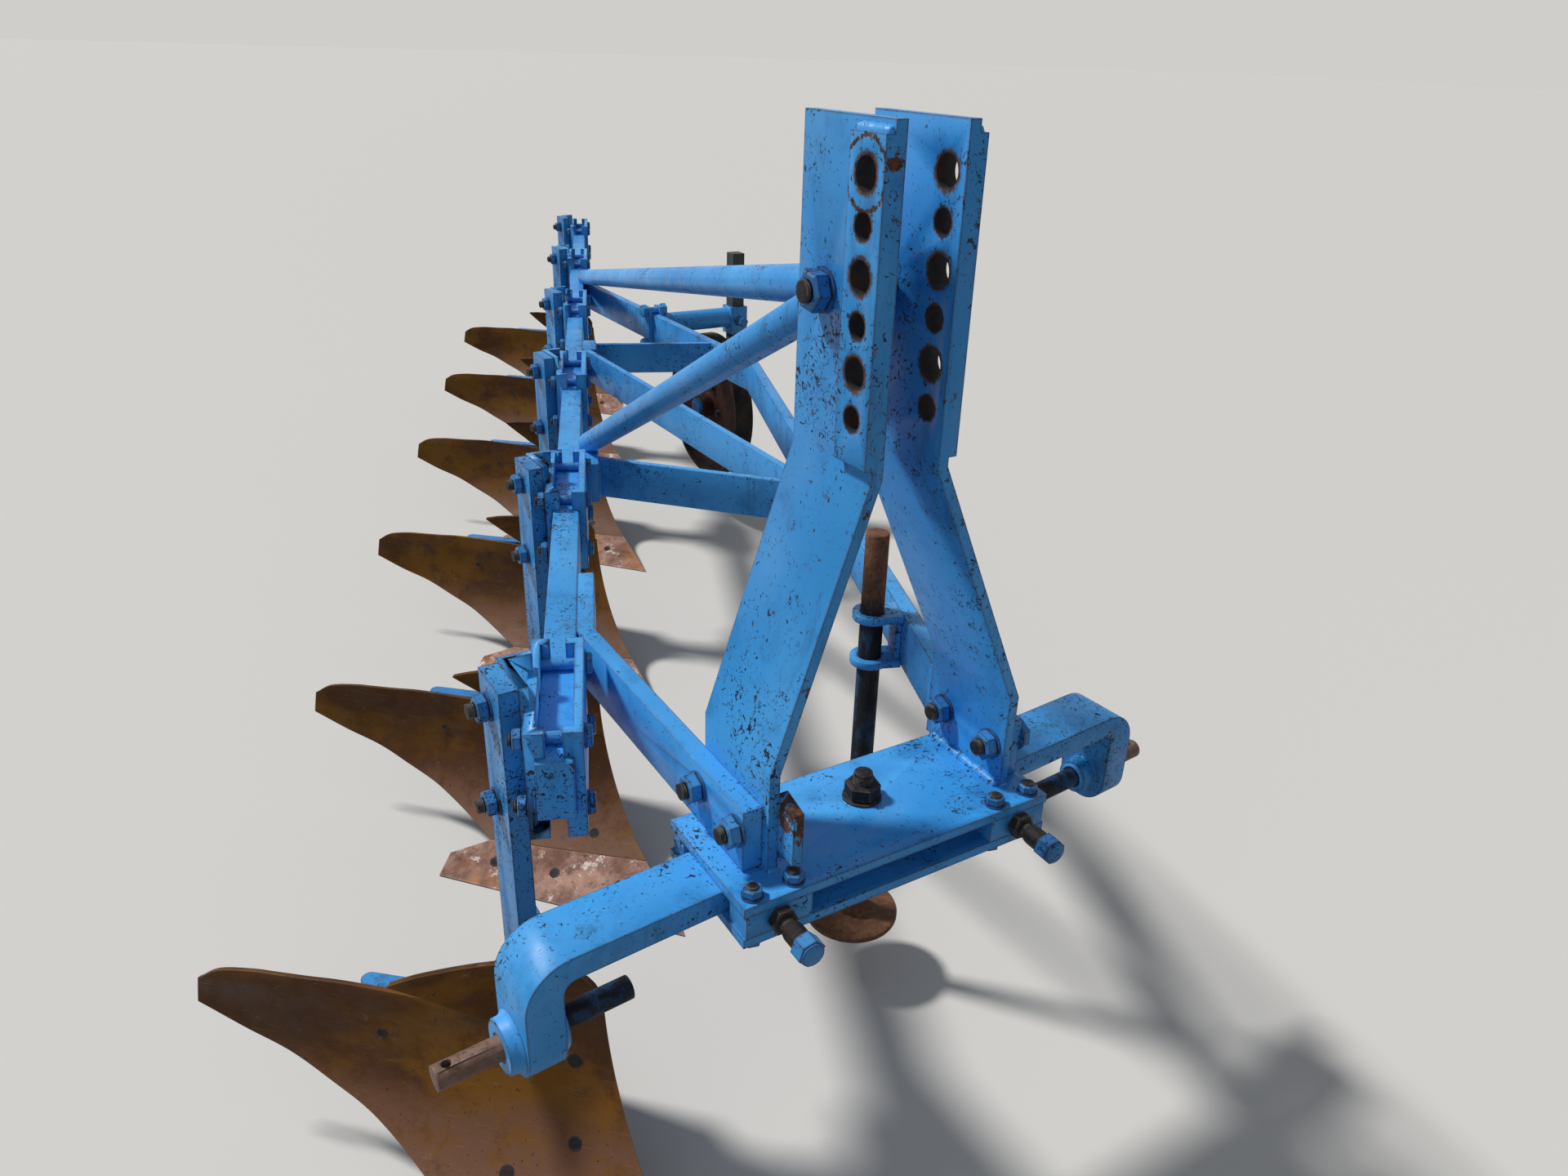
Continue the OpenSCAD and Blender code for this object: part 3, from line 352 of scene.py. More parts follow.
def dark_bores(n, col):
    """The insides of the top link's holes are black with rust."""
    large, small, _ = holes_of(n)
    inside = n.most(n.ramp(large, 0.0165, 0.0162), n.ramp(small, 0.01325, 0.0130))
    dark = n.mix(n.ramp(n.noise(60, 5), 0.45, 0.6), (0.006, 0.010, 0.018), (0.035, 0.018, 0.012))
    return n.mix(inside, col, dark)


def pin_zone(n, col):
    """The pins are black with paint inside the arms, and brown outside."""
    x = n.math("ABSOLUTE", n.math("SUBTRACT", n.axis("X"), at(PIVOT[0], 0, 0).x))
    inside = n.ramp(x, 0.452, 0.444)
    dark = n.mix(n.ramp(n.noise(30, 5, 0.7), 0.46, 0.6), (0.006, 0.008, 0.014), (0.010, 0.045, 0.12))
    return n.mix(inside, col, dark)


def stand_zone(n, col):
    """The stand is black with blue drips under its bracket, and brown over it."""
    low = n.ramp(n.sum((n.axis("Z"), 1), (n.noise(25, 5), 0.06)), 0.745, 0.720)
    low = n.math("MULTIPLY", low, n.ramp(n.axis("Z"), 0.150, 0.165))
    drips = n.ramp(n.noise(45, 6, 0.7, (1, 1, 0.3)), 0.5, 0.66)
    dark = n.mix(drips, (0.008, 0.009, 0.012), (0.016, 0.055, 0.12))
    return n.mix(low, col, dark)


def rim_zone(n, col):
    """The wheel's rim is black, and its dish a dark red-brown."""
    from_axle = n.to_holes(axle.y, axle.z, 1, 1)
    rim = n.ramp(n.sum((from_axle, 1), (n.noise(12, 5, 0.7), 0.03)), 0.205, 0.222)
    dark = n.mix(n.ramp(n.noise(26, 6, 0.7), 0.45, 0.62), (0.007, 0.006, 0.007), (0.040, 0.020, 0.013))
    return n.mix(rim, col, dark)


def mast_zone(n, col):
    """The mast's lower end and the axle are painted blue."""
    blue = n.mix(n.ramp(n.noise(20, 4), 0.4, 0.6), (0.05, 0.28, 0.62), (0.03, 0.17, 0.44))
    return n.mix(n.ramp(n.sum((n.axis("Z"), 1), (n.noise(35, 5), 0.08)), 0.455, 0.445), col, blue)


LIGHT, MID, DEEP = (0.062, 0.370, 0.830), (0.030, 0.280, 0.700), (0.008, 0.135, 0.420)
BLUE = painted("frame_paint", LIGHT, MID, DEEP)
BLUE_SHAFT = painted("shaft_paint", LIGHT, MID, DEEP, 0.014, 1.5, 0.6, rusts=(CHIP, (0.070, 0.034, 0.022)))
BLUE_HEAD = painted("head_paint", LIGHT, MID, DEEP, 0.004, 1.1, 0.4, head_marks, dark_bores)
BLUE_BOLT = painted("bolt_paint", (0.050, 0.28, 0.64), (0.022, 0.17, 0.46), (0.008, 0.08, 0.27),
                    0.026, 1.1, 0.7, rusts=(CHIP, (0.045, 0.026, 0.020)))
BLUE_LEG = painted("leg_paint", (0.045, 0.29, 0.68), (0.020, 0.20, 0.53), (0.007, 0.10, 0.32),
                   0.018, 1.3, 0.7, rusts=(CHIP, (0.060, 0.030, 0.020)))
BEAD = painted("weld_paint", (0.090, 0.420, 0.880), (0.045, 0.320, 0.760), (0.010, 0.150, 0.450),
               0.01, 0.0, 0.6)
STAND = rusty("stand_steel", (0.10, 0.044, 0.026), (0.205, 0.10, 0.055), (0.05, 0.024, 0.018), 40, 0.3,
              zone=stand_zone)
PIN = rusty("pin_steel", (0.125, 0.070, 0.050), (0.20, 0.125, 0.095), (0.06, 0.032, 0.026), 38, 0.35,
            (0.45, 0.7), 0.3, pin_zone)
BLACK = rusty("black_steel", (0.008, 0.009, 0.012), (0.022, 0.017, 0.017), (0.050, 0.028, 0.020), 50, 0.35,
              (0.5, 0.8))
WHEEL = rusty("wheel_steel", (0.020, 0.006, 0.004), (0.046, 0.012, 0.006), (0.095, 0.038, 0.018), 9, 0.2,
              zone=rim_zone)
MAST = rusty("mast_steel", (0.040, 0.048, 0.050), (0.085, 0.095, 0.092), (0.05, 0.028, 0.02), 35, 0.35,
             (0.5, 0.8), 0.2, mast_zone)


def board_material():
    """Mouldboard: orange-brown over grey-brown steel, paler and pinker below; the lower zone is partly
    scouring and partly painted sunlight.
    """
    n = Nodes("board_steel")
    z = n.axis("Z")
    wob = n.sum((z, 1), (n.math("SUBTRACT", n.noise(6, 5), 0.5), 0.13))
    # the paler, pinker lower zone: partly scouring, partly painted sunlight on the boards' lower part
    low = n.ramp(wob, 0.10, 0.165, 1, 0)
    drift = n.noise(3.2, 5, 0.6, (1, 1, 2.2))
    col = n.mix(n.ramp(drift, 0.40, 0.60), (0.068, 0.023, 0.004), (0.185, 0.076, 0.004))
    col = n.mix(n.ramp(n.noise(15, 7, 0.72), 0.50, 0.66, 0, 0.75), col, (0.040, 0.015, 0.006))
    col = n.mix(n.math("MULTIPLY", low, n.ramp(n.noise(20, 6, 0.7), 0.28, 0.55)), col, (0.160, 0.074, 0.042))
    pale = n.ramp(n.noise(34, 7, 0.75, (1, 1, 1.6)), 0.60, 0.70, 0, 0.45)
    col = n.mix(pale, col, (0.25, 0.150, 0.090))
    scratch = n.ramp(n.noise(60, 4, 0.7, (0.35, 0.35, 7)), 0.61, 0.72, 0, 0.35)
    col = n.mix(scratch, col, (0.33, 0.21, 0.13))
    col = n.mix(n.ramp(n.noise(140, 4, 0.7), 0.635, 0.68), col, (0.030, 0.014, 0.008))
    # lighter edges: partly worn steel, partly painted highlight on the sheets' sunlit edges
    col = n.mix(n.math("MULTIPLY", n.edge(0.003), 0.55), col, (0.22, 0.14, 0.10))
    n.bump(n.sum((n.noise(260, 5, 0.7), 1), (scratch, -0.7)), 0.32, 0.0006)
    return n.done(col, n.ramp(n.noise(20, 5), 0.3, 0.7, 0.45, 0.72), 0.0, 0.25)


def share_material(name):
    """Shares and landsides: pinkish brown rust with pale scuffs and an orange patch here and there."""
    n = Nodes(name)
    col = n.mix(n.ramp(n.noise(15, 7, 0.72), 0.40, 0.60), (0.185, 0.088, 0.060), (0.345, 0.200, 0.155))
    col = n.mix(n.ramp(n.noise(4.6, 4), 0.52, 0.60, 0, 0.8), col, (0.330, 0.135, 0.040))
    col = n.mix(n.ramp(n.noise(55, 6, 0.75), 0.52, 0.66), col, (0.105, 0.045, 0.028))
    scuff = n.ramp(n.noise(24, 7, 0.75, (1, 1, 2.0), (5, 2, 1)), 0.575, 0.625, 0, 0.85)
    col = n.mix(scuff, col, (0.62, 0.55, 0.52))
    col = n.mix(n.math("MULTIPLY", n.edge(0.006), 0.4), col, (0.36, 0.31, 0.28))
    n.bump(n.noise(240, 6, 0.75), 0.5, 0.0009)
    return n.done(col, n.ramp(n.noise(20, 5), 0.3, 0.7, 0.5, 0.8), 0.2, 0.4)


BOARD = board_material()
SHARE = share_material("share_steel")
WORN = share_material("worn_steel")


# ---------------------------------------------------------------- mesh helpers
X_AXIS = (1, 0, 0)
BEVEL_STEPS = 2


def piece(name, bm, mat, body="frame", bevel=0.0, nodes=(), angle=35):
    """Turns bm into an object that rides a body; its edges over angle (degrees) are bevelled or sharp."""
    me = bpy.data.meshes.new(name)
    bm.normal_update()
    bm.to_mesh(me)
    bm.free()
    o = bpy.data.objects.new(name, me)
    bpy.context.scene.collection.objects.link(o)
    me.materials.append(mat)
    for p in me.polygons:
        p.use_smooth = True
    if bevel:
        m = o.modifiers.new("bevel", "BEVEL")
        m.width = bevel
        m.segments = BEVEL_STEPS
        m.limit_method = "ANGLE"
        m.angle_limit = math.radians(angle)
        m.harden_normals = True
    else:
        me.set_sharp_from_angle(angle=math.radians(angle))
    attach(o, body)
    if nodes:
        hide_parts(*nodes)


def refine(node, mat, bevel=0.0018, body="frame", move=None):
    """A bevelled copy that stands for a CAD node; move shifts its corners."""
    bm = bmesh.new()
    bm.from_mesh(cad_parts[node].data)
    bmesh.ops.remove_doubles(bm, verts=bm.verts, dist=2e-6)
    bmesh.ops.dissolve_limit(bm, angle_limit=math.radians(0.3), verts=bm.verts, edges=bm.edges)
    if move:
        for v in bm.verts:
            v.co = move(v.co)
    piece(node + ".look", bm, mat, body, bevel, [node])


def frame_from(axis):
    """Rotation that takes Z to the given axis."""
    z = Vector(axis).normalized()
    x = z.orthogonal().normalized()
    return Matrix((x, z.cross(x), z)).transposed().to_4x4()


def ring(bm, m, r, z, n, phase=0.0):
    """n corners of a circle round m's Z axis."""
    angles = [phase + 2 * math.pi * i / n for i in range(n)]
    return [bm.verts.new(m @ Vector((r * math.cos(a), r * math.sin(a), z))) for a in angles]


def turned(bm, m, profile, n, phase=0.0):
    """Lathes a (radius, height) profile round m's Z axis, capped at both ends."""
    rings = [ring(bm, m, max(r, 1e-5), z, n, phase) for r, z in profile]
    for a, b in zip(rings, rings[1:]):
        for i in range(n):
            bm.faces.new((a[i], a[(i + 1) % n], b[(i + 1) % n], b[i]))
    bm.faces.new(rings[0][::-1])
    bm.faces.new(rings[-1])


def hexagon(bm, m, r, z0, z1, both=False, phase=0.0):
    """Hexagonal head or nut of corner radius r, chamfered at its top or at both ends."""
    c = 0.10 * r
    flat = r * math.cos(math.pi / 6)
    prof = [(flat * 0.97, z0), (r, z0 + c)] if both else [(r, z0)]
    turned(bm, m, prof + [(r, z1 - c), (flat * 0.96, z1)], 6, phase)


THREAD_PITCH = 0.0022


def thread(bm, m, r, z0, z1):
    """Threaded rod with ridges that stand for the helix."""
    n = max(2, int((z1 - z0) / THREAD_PITCH))
    prof = [(r * 0.8, z0)]
    for i in range(n):
        z = z0 + (z1 - z0) * i / n
        prof += [(r, z + 0.3 * THREAD_PITCH), (r * 0.9, z + 0.8 * THREAD_PITCH)]
    prof += [(r * 0.75, z1)]
    turned(bm, m, prof, 20)


WASHER_T = 0.0025
WASHER, HEX, NUT, HEAD = 1.95, 1.85, 1.5, 1.2   # radii and heights, in radii of the bolt
tails = bmesh.new()                             # threaded ends of all the bolts


def bolt(bm, low, high, axis, r, tail=0.006, phase=0.0, head=HEAD):
    """Nut at low with the thread's end, head at high, along axis, with a washer under both."""
    m = Matrix.Translation(low) @ frame_from(axis)
    length = (high - low).dot(Vector(axis).normalized())
    w = WASHER_T
    turned(bm, m, [(WASHER * r, -w), (WASHER * r, 0)], 28)
    turned(bm, m, [(WASHER * r, length), (WASHER * r, length + w)], 28)
    hexagon(bm, m, HEX * r, -w - NUT * r, -w, True, phase)
    turned(bm, m, [(r * 0.99, -w - NUT * r), (r * 0.99, length)], 20)
    thread(tails, m, r, -w - NUT * r - tail, -w - 1.45 * r)
    hexagon(bm, m, HEX * r, length + w, length + w + head * r, False, phase + 0.3)


RIPPLE = 0.0055


def weld(bm, p, q, r):
    """A bead of overlapping ripples along a straight seam."""
    d = q - p
    n = max(3, int(d.length / RIPPLE))
    m = Matrix.Translation(p) @ frame_from(d)
    prof = [(r * 0.3, 0)]
    for i in range(n):
        s = r * (0.9 + 0.25 * noise.noise(Vector((p.x * 31 + i * 0.7, p.y * 17, 3))))
        z = d.length * i / n
        h = d.length / n
        prof += [(s * 0.84, z + 0.15 * h), (s, z + 0.6 * h)]
    prof += [(r * 0.3, d.length)]
    turned(bm, m, prof, 9)


def weld_ring(bm, m, radius, r, n=48, sides=8):
    """A rippled bead round m's Z axis."""
    rows = []
    for i in range(n):
        a = 2 * math.pi * i / n
        s = r * (0.95 + 0.16 * math.sin(i * 2.4))
        c = Vector((math.cos(a), math.sin(a), 0))
        rows.append([bm.verts.new(m @ (c * (radius + s * math.cos(b)) + Vector((0, 0, s * math.sin(b)))))
                     for b in (2 * math.pi * j / sides for j in range(sides))])
    for i in range(n):
        a, b = rows[i], rows[(i + 1) % n]
        for j in range(sides):
            bm.faces.new((a[j], b[j], b[(j + 1) % sides], a[(j + 1) % sides]))


# ---------------------------------------------------------------- worked surfaces
# A board's columns: distance from the shin and height over the share's top line, of the low end
# and of the high one. A share's columns: distance of the low and the high end, and what its top
# lies over SHARE_H.
BOARD_COLS = [(0, 0, 0, 245), (74, -3.3, 74, 222), (121, -5.3, 121, 207), (194, -8.5, 194, 213),
              (227, -10, 239, 216), (266, 28, 284, 217), (287, 46, 324, 215), (319, 66, 359, 214),
              (359, 92, 385, 213), (408, 114, 424, 206), (456, 142, 449, 188)]
SHARE_COLS = [(0, 0, 0), (85, 74, -3.3), (140, 121, -5.3), (222, 194, -8.5), (262, 227, -10), (332, 300, -30)]
ROWS, CURVED_FROM = 20, 4
EDGE_H, BEND_H, UNDER_H = 1.5, 4.0, 9.5         # the share's blunt edge, and where its underside lifts off
BOARD_BOLTS = ((40, 214, 0.011), (63, 116, 0.010), (147, 76, 0.011), (60, 72, 0.010), (247, 203, 0.0075))
SHARE_BOLTS, SHARE_BOLT_R = ((60, 30), (150, 28), (235, 26)), 0.010
LANDSIDE_BOLTS = ((-160, 62), (-60, 62), (18, 50))


def spline(p, a, b, q, t):
    """Smooth curve from a to b, with p before and q after them."""
    return 0.5 * (2 * a + (b - p) * t + (2 * p - 5 * a + 4 * b - q) * t * t
                  + (3 * a - p - 3 * b + q) * t ** 3)


def spread(cols, parts, smooth_from=None):
    """More columns between the outline's corners, curved from the given column on."""
    out = []
    for i in range(len(cols) - 1):
        a, b = cols[i], cols[i + 1]
        curved = smooth_from is not None and i >= smooth_from
        p = cols[i - 1] if curved and i > smooth_from else a
        q = cols[i + 2] if curved and i + 2 < len(cols) else b
        for j in range(parts):
            t = j / parts
            if curved:
                out.append(tuple(spline(*four, t) for four in zip(p, a, b, q)))
            else:
                out.append(tuple(x + (y - x) * t for x, y in zip(a, b)))
    return out + [cols[-1]]


def sheet_mesh(bm, grid, t, move, lean=lambda u: 0.0):
    """Closed sheet of thickness t whose worked face goes through grid's points, moved forward by lean(u)."""
    def corner(p, u):
        return bm.verts.new(move @ ((p - Vector((0, lean(u), 0))) / 1000))

    fr = [[corner(face(u, z), u) for u, z in col] for col in grid]
    bk = [[corner(behind(u, z, t), u) for u, z in col] for col in grid]
    m, n = len(grid), len(grid[0])
    for i in range(m - 1):
        for j in range(n - 1):
            bm.faces.new((fr[i][j], fr[i + 1][j], fr[i + 1][j + 1], fr[i][j + 1]))
            bm.faces.new((bk[i][j], bk[i][j + 1], bk[i + 1][j + 1], bk[i + 1][j]))
        bm.faces.new((fr[i + 1][0], fr[i][0], bk[i][0], bk[i + 1][0]))
        bm.faces.new((fr[i][-1], fr[i + 1][-1], bk[i + 1][-1], bk[i][-1]))
    for j in range(n - 1):
        bm.faces.new((fr[0][j], fr[0][j + 1], bk[0][j + 1], bk[0][j]))
        bm.faces.new((fr[-1][j + 1], fr[-1][j], bk[-1][j], bk[-1][j + 1]))
    bmesh.ops.recalc_face_normals(bm, faces=bm.faces)


def top_line(u):
    """Height of the board's top edge over SHARE_H."""
    pts = [(c[2], c[3]) for c in BOARD_COLS]
    for (a, za), (b, zb) in zip(pts, pts[1:]):
        if a <= u <= b:
            return za + (zb - za) * (u - a) / (b - a)
    return pts[-1][1]


def flush_bolt(bm, k, u, z, r):
    """Countersunk plough bolt: a flat head just proud of the worked face, and its nut behind."""
    n = face_normal(z)
    m = Matrix.Translation(body_at(k) + face(u, z) / 1000) @ frame_from(n)
    turned(bm, m, [(r * 0.92, -0.003), (r, 0.0002), (r * 0.9, 0.0010), (r * 0.45, 0.0007)], 28)
    back = Matrix.Translation(body_at(k) + behind(u, z, BOARD_T) / 1000) @ frame_from(-n)
    hexagon(bm, back, r * 0.95, 0, 0.009)
    thread(bm, back, r * 0.5, 0.009, 0.016)


for k in BODIES:
    move = Matrix.Translation(body_at(k))
    bm = bmesh.new()
    grid = [[(a + (c - a) * j / ROWS, SHARE_H + b + (d - b) * j / ROWS) for j in range(ROWS + 1)]
            for a, b, c, d in spread(BOARD_COLS, 5, CURVED_FROM)]
    sheet_mesh(bm, grid, BOARD_T, move)
    piece(f"mouldboard_{k}.look", bm, BOARD, bevel=0.0015, nodes=[f"mouldboard_{k}"], angle=50)
    bm = bmesh.new()
    grid = []
    for a, b, dz in spread(SHARE_COLS, 4):
        top = SHARE_H + dz
        heights = (EDGE_H, BEND_H, *(UNDER_H + (top - UNDER_H) * i / 6 for i in range(7)))
        grid.append([(a + (b - a) * (z - EDGE_H) / (top - EDGE_H), z) for z in heights])
    sheet_mesh(bm, grid, SHARE_T, move)
    piece(f"share_{k}.look", bm, SHARE, bevel=0.001, nodes=[f"share_{k}"], angle=50)
    bm = bmesh.new()
    for u, z, r in BOARD_BOLTS:
        flush_bolt(bm, k, u, z, r)
    for u, z in SHARE_BOLTS:
        flush_bolt(bm, k, u, z, SHARE_BOLT_R)
    for y, z in LANDSIDE_BOLTS:
        m = Matrix.Translation(body_at(k, SHIN_X, y, z)) @ frame_from(X_AXIS)
        turned(bm, m, [(0.010, -0.003), (0.011, -0.0004), (0.005, -0.0008)], 24)
    piece(f"board_bolts_{k}", bm, BLACK, angle=40)

# the trashboards stand on the boards' top edges up to SEAT_U and run out to a free tip
TIP_U, TIP_Z, SEAT_U, TRASH_GAP, TRASH_Z = 246, 362, 135, 0.9, 350
LEAN, LEAN_FROM, TRASH_COLS, TRASH_ROWS = 105, 95, 40, 8
SAG, CORNER_CUT, CORNER_U = 6, 40, 32           # of the upper edge: its sag, and its corner by the shin


def trash_lean(u):
    """The trashboard follows the board's face by the shin, and leans forward to its free tip."""
    return LEAN * max(0.0, (u - LEAN_FROM) / (TIP_U - LEAN_FROM)) ** 1.25


def trash_column(u):
    """The trashboard's points at a distance u from the shin."""
    f = min(1.0, max(0.0, (u - SEAT_U) / (TIP_U - SEAT_U)))
    low = SHARE_H + top_line(min(u, SEAT_U)) + TRASH_GAP
    low += (TIP_Z - low) * f ** 1.15
    g = u / TIP_U
    high = TRASH_Z - SAG * math.sin(math.pi * min(1.0, 1.15 * g)) + (TIP_Z - TRASH_Z) * g
    high -= CORNER_CUT * max(0.0, 1 - u / CORNER_U) ** 2
    return [(u, low + (max(high, low + 2) - low) * j / TRASH_ROWS) for j in range(TRASH_ROWS + 1)]


bm = bmesh.new()
grid = [trash_column(4 + (TIP_U - 6) * i / TRASH_COLS) for i in range(TRASH_COLS + 1)]
for k in BODIES:
    one = bmesh.new()
    sheet_mesh(one, grid, BOARD_T, Matrix.Translation(body_at(k)), trash_lean)
    me = bpy.data.meshes.new("t")
    one.to_mesh(me)
    one.free()
    bm.from_mesh(me)
    bpy.data.meshes.remove(me)
piece("trashboards.look", bm, BOARD, bevel=0.0012, nodes=["trashboards"], angle=50)

# ---------------------------------------------------------------- frame
for node in ("beam", "clamp_plates", "front_brace", "long_bar", "strut_front", "strut_rear", "diagonal",
             "beam_pads", "brace_lower", "brace_upper", "hitch_top", "hitch_bottom", "hitch_spacers",
             "stand_bracket", "wheel_arm"):
    refine(node, BLUE)
refine("cross_shaft", BLUE_SHAFT)
tab_low, tab_high = at(216, -388, 613), at(231, -354, 703)
TAB_FROM, TAB_TO, TAB_KEPT = 0.614, 0.627, 0.75


def tab(co):
    """The tab in front of the left foot is worn shorter than its blank."""
    if all(a < c < b for a, c, b in zip(tab_low, co, tab_high)):
        return Vector((co.x, co.y, TAB_TO + (co.z - TAB_FROM) * TAB_KEPT))
    return co


refine("headstock_left", BLUE_HEAD, move=tab)
refine("headstock_right", BLUE_HEAD)
for k in BODIES:
    refine(f"bracket_{k}", BLUE)
    refine(f"leg_{k}", BLUE_LEG)
    refine(f"frog_{k}", BLUE_LEG)
refine("landsides", WORN)


def clip(poly, inside):
    """Keeps the part of a polygon where inside(point) is above 0."""
    out = []
    for a, b in zip(poly, poly[1:] + poly[:1]):
        fa, fb = inside(a), inside(b)
        if fa >= 0:
            out.append(a)
        if fa * fb < 0:
            out.append(a + (b - a) * (fa / (fa - fb)))
    return out


# the stay's round end behind each mouldboard's wing, clear of the leg's side and back
STAY_Z, STAY_T, STAY_W, STAY_REACH, STAY_RUN, STAY_GAP, ARC = 268, 10, 24, 260, 500, 0.9, 24
theta = turn(STAY_Z) - math.pi / 2
run, wide = Vector((math.cos(theta), math.sin(theta), 0)), Vector((-math.sin(theta), math.cos(theta), 0))
end = behind(STAY_REACH, STAY_Z, BOARD_T + STAY_GAP)
end.z = 0
half = STAY_W / 2
outline = [end + wide * (half + half * math.cos(a)) - run * half * math.sin(a)
           for a in (math.pi * i / ARC for i in range(ARC + 1))]
outline += [end + run * STAY_RUN, end + run * STAY_RUN + wide * STAY_W]
outline = clip(clip(outline, lambda p: -0.3 - p.x), lambda p: p.y + LEG_W + 0.1)
for k in BODIES:
    bm = bmesh.new()
    low = [bm.verts.new(body_at(k, p.x, p.y, STAY_Z - STAY_T)) for p in outline]
    high = [bm.verts.new(body_at(k, p.x, p.y, STAY_Z)) for p in outline]
    bm.faces.new(low)
    bm.faces.new(high)
    for i in range(len(low)):
        j = (i + 1) % len(low)
        bm.faces.new((low[i], low[j], high[j], high[i]))
    bmesh.ops.recalc_face_normals(bm, faces=bm.faces)
    piece(f"stay_end_{k}", bm, BLUE_LEG, bevel=0.0015)
refine("link_pins", PIN)
refine("stand", STAND, body="stand")
AXLE_REACH, AXLE_SHRINK = 0.0178, 0.975


def loose_axle(co):
    """The axle is a little thinner than the hub's bore, so that their facets pass each other."""
    dy, dz = co.y - axle.y, co.z - axle.z
    if math.hypot(dy, dz) < AXLE_REACH:
        return Vector((co.x, axle.y + dy * AXLE_SHRINK, axle.z + dz * AXLE_SHRINK))
    return co


refine("wheel_mast", MAST, body="mast", move=loose_axle)
refine("depth_wheel", WHEEL, body="wheel", bevel=0.003)

# ---------------------------------------------------------------- bolts
CLAMP_ALONGS, CLAMP_ZS, CLAMP_BOLT_R = (-88, 86), (593.8, 690.2), 0.008
NEAR, FAR = BEAM_OFF - CLAMP_T - 0.1, BEAM_OFF + BEAM_W + CLAMP_T + 0.1
LEG_BOLTS = ((-30, 561, LEG_T + LEG_PLATE_T), (-30, 701, LEG_T + LEG_PLATE_T),
             (-38, 200, LEG_T + WEB_T), (-38, 300, LEG_T + WEB_T))
FOOT_BOLT_YS, FOOT_BOLT_Z = (-330, -237), 652
BRACE_BOLT_Y, BRACE_BOLT_Z = -252, 1217

bm = bmesh.new()
for k in BODIES:
    for a in CLAMP_ALONGS:
        for z in CLAMP_ZS:
            bolt(bm, on_beam(k, NEAR, a, z), on_beam(k, FAR, a, z), across, CLAMP_BOLT_R,
                 phase=a * 0.1 + z, head=0.95)
piece("clamp_bolts.look", bm, BLUE_BOLT, nodes=["clamp_bolts"], angle=30)
bm = bmesh.new()
for k in BODIES:
    for y, z, t in LEG_BOLTS:
        bolt(bm, body_at(k, 0, y, z), body_at(k, t, y, z), X_AXIS, 0.0098, 0.010, phase=z)
piece("leg_bolts.look", bm, BLUE_BOLT, nodes=["leg_bolts"], angle=30)
bm = bmesh.new()
for y in FOOT_BOLT_YS:
    for x in (LEFT_FOOT - HEAD_T - BAR_T, RIGHT_FOOT):
        bolt(bm, at(x, y, FOOT_BOLT_Z), at(x + HEAD_T + BAR_T, y, FOOT_BOLT_Z), X_AXIS, 0.0102, 0.008,
             phase=y * 0.7)
piece("foot_bolts.look", bm, BLUE_BOLT, nodes=["foot_bolts"], angle=30)
bm = bmesh.new()
bolt(bm, at(TOP_X - HEAD_HALF, BRACE_BOLT_Y, BRACE_BOLT_Z), at(TOP_X + HEAD_HALF, BRACE_BOLT_Y, BRACE_BOLT_Z),
     X_AXIS, 0.0119, 0.006, phase=0.4)
piece("brace_bolt.look", bm, BLUE_BOLT, nodes=["brace_bolt"], angle=30)

# the hitch box: two bolts and a set screw with its lock nut at both ends, and the pivot's bolt
BOX_BOLT_X, BOX_BOLT_STEP, BOX_BOLT_Y, BOX_BOLT_R = 172, 26.5, -380, 0.0066
bm = bmesh.new()
rusty_bits = bmesh.new()
for s in (-1, 1):
    x = BOX_X + s * BOX_BOLT_X
    for b in (-BOX_BOLT_STEP, BOX_BOLT_STEP):
        bolt(bm, at(x + b, BOX_BOLT_Y, BOX_TOP), at(x + b, BOX_BOLT_Y, BOX_LOW), (0, 0, -1),
             BOX_BOLT_R, 0.003, phase=b)
    m = Matrix.Translation(at(x, BOX_FRONT, SHAFT_Z)) @ frame_from((0, -1, 0))
    thread(rusty_bits, m, 0.0088, -0.002, 0.030)
    turned(rusty_bits, m, [(0.0088, 0.020), (0.0120, 0.024), (0.0128, 0.028), (0.0128, 0.048)], 24)
    hexagon(rusty_bits, m, 0.0168, 0, 0.014, True, 0.2)
    hexagon(bm, m, 0.0168, 0.047, 0.068, True, 0.5)
    turned(bm, m, [(0.0145, 0.0678), (0.0135, 0.0692), (0.009, 0.0705)], 24)
piece("hitch_bolts.look", bm, BLUE_BOLT, nodes=["hitch_bolts"], angle=30)
m = Matrix.Translation(at(*PIVOT, BOX_TOP))
turned(rusty_bits, m, [(0.0245, 0), (0.0245, 0.003), (0.0235, 0.0035)], 32)
hexagon(rusty_bits, m, 0.0225, 0.0035, 0.0225, True, 0.35)
thread(rusty_bits, m, 0.0125, 0.02, 0.034)
turned(rusty_bits, m, [(0.0122, 0.033), (0.0115, 0.0365), (0.0085, 0.0385), (0.0030, 0.0390)], 24)
m = Matrix.Translation(at(*PIVOT, BOX_LOW))
hexagon(rusty_bits, m @ frame_from((0, 0, -1)), 0.0225, 0, 0.0145)
turned(rusty_bits, m, [(0.0119, 0), (0.0119, 0.055)], 24)
piece("pivot_bolt", rusty_bits, BLACK, nodes=["hitch_bolts"], angle=30)
piece("bolt_tails", tails, BLACK, angle=30)

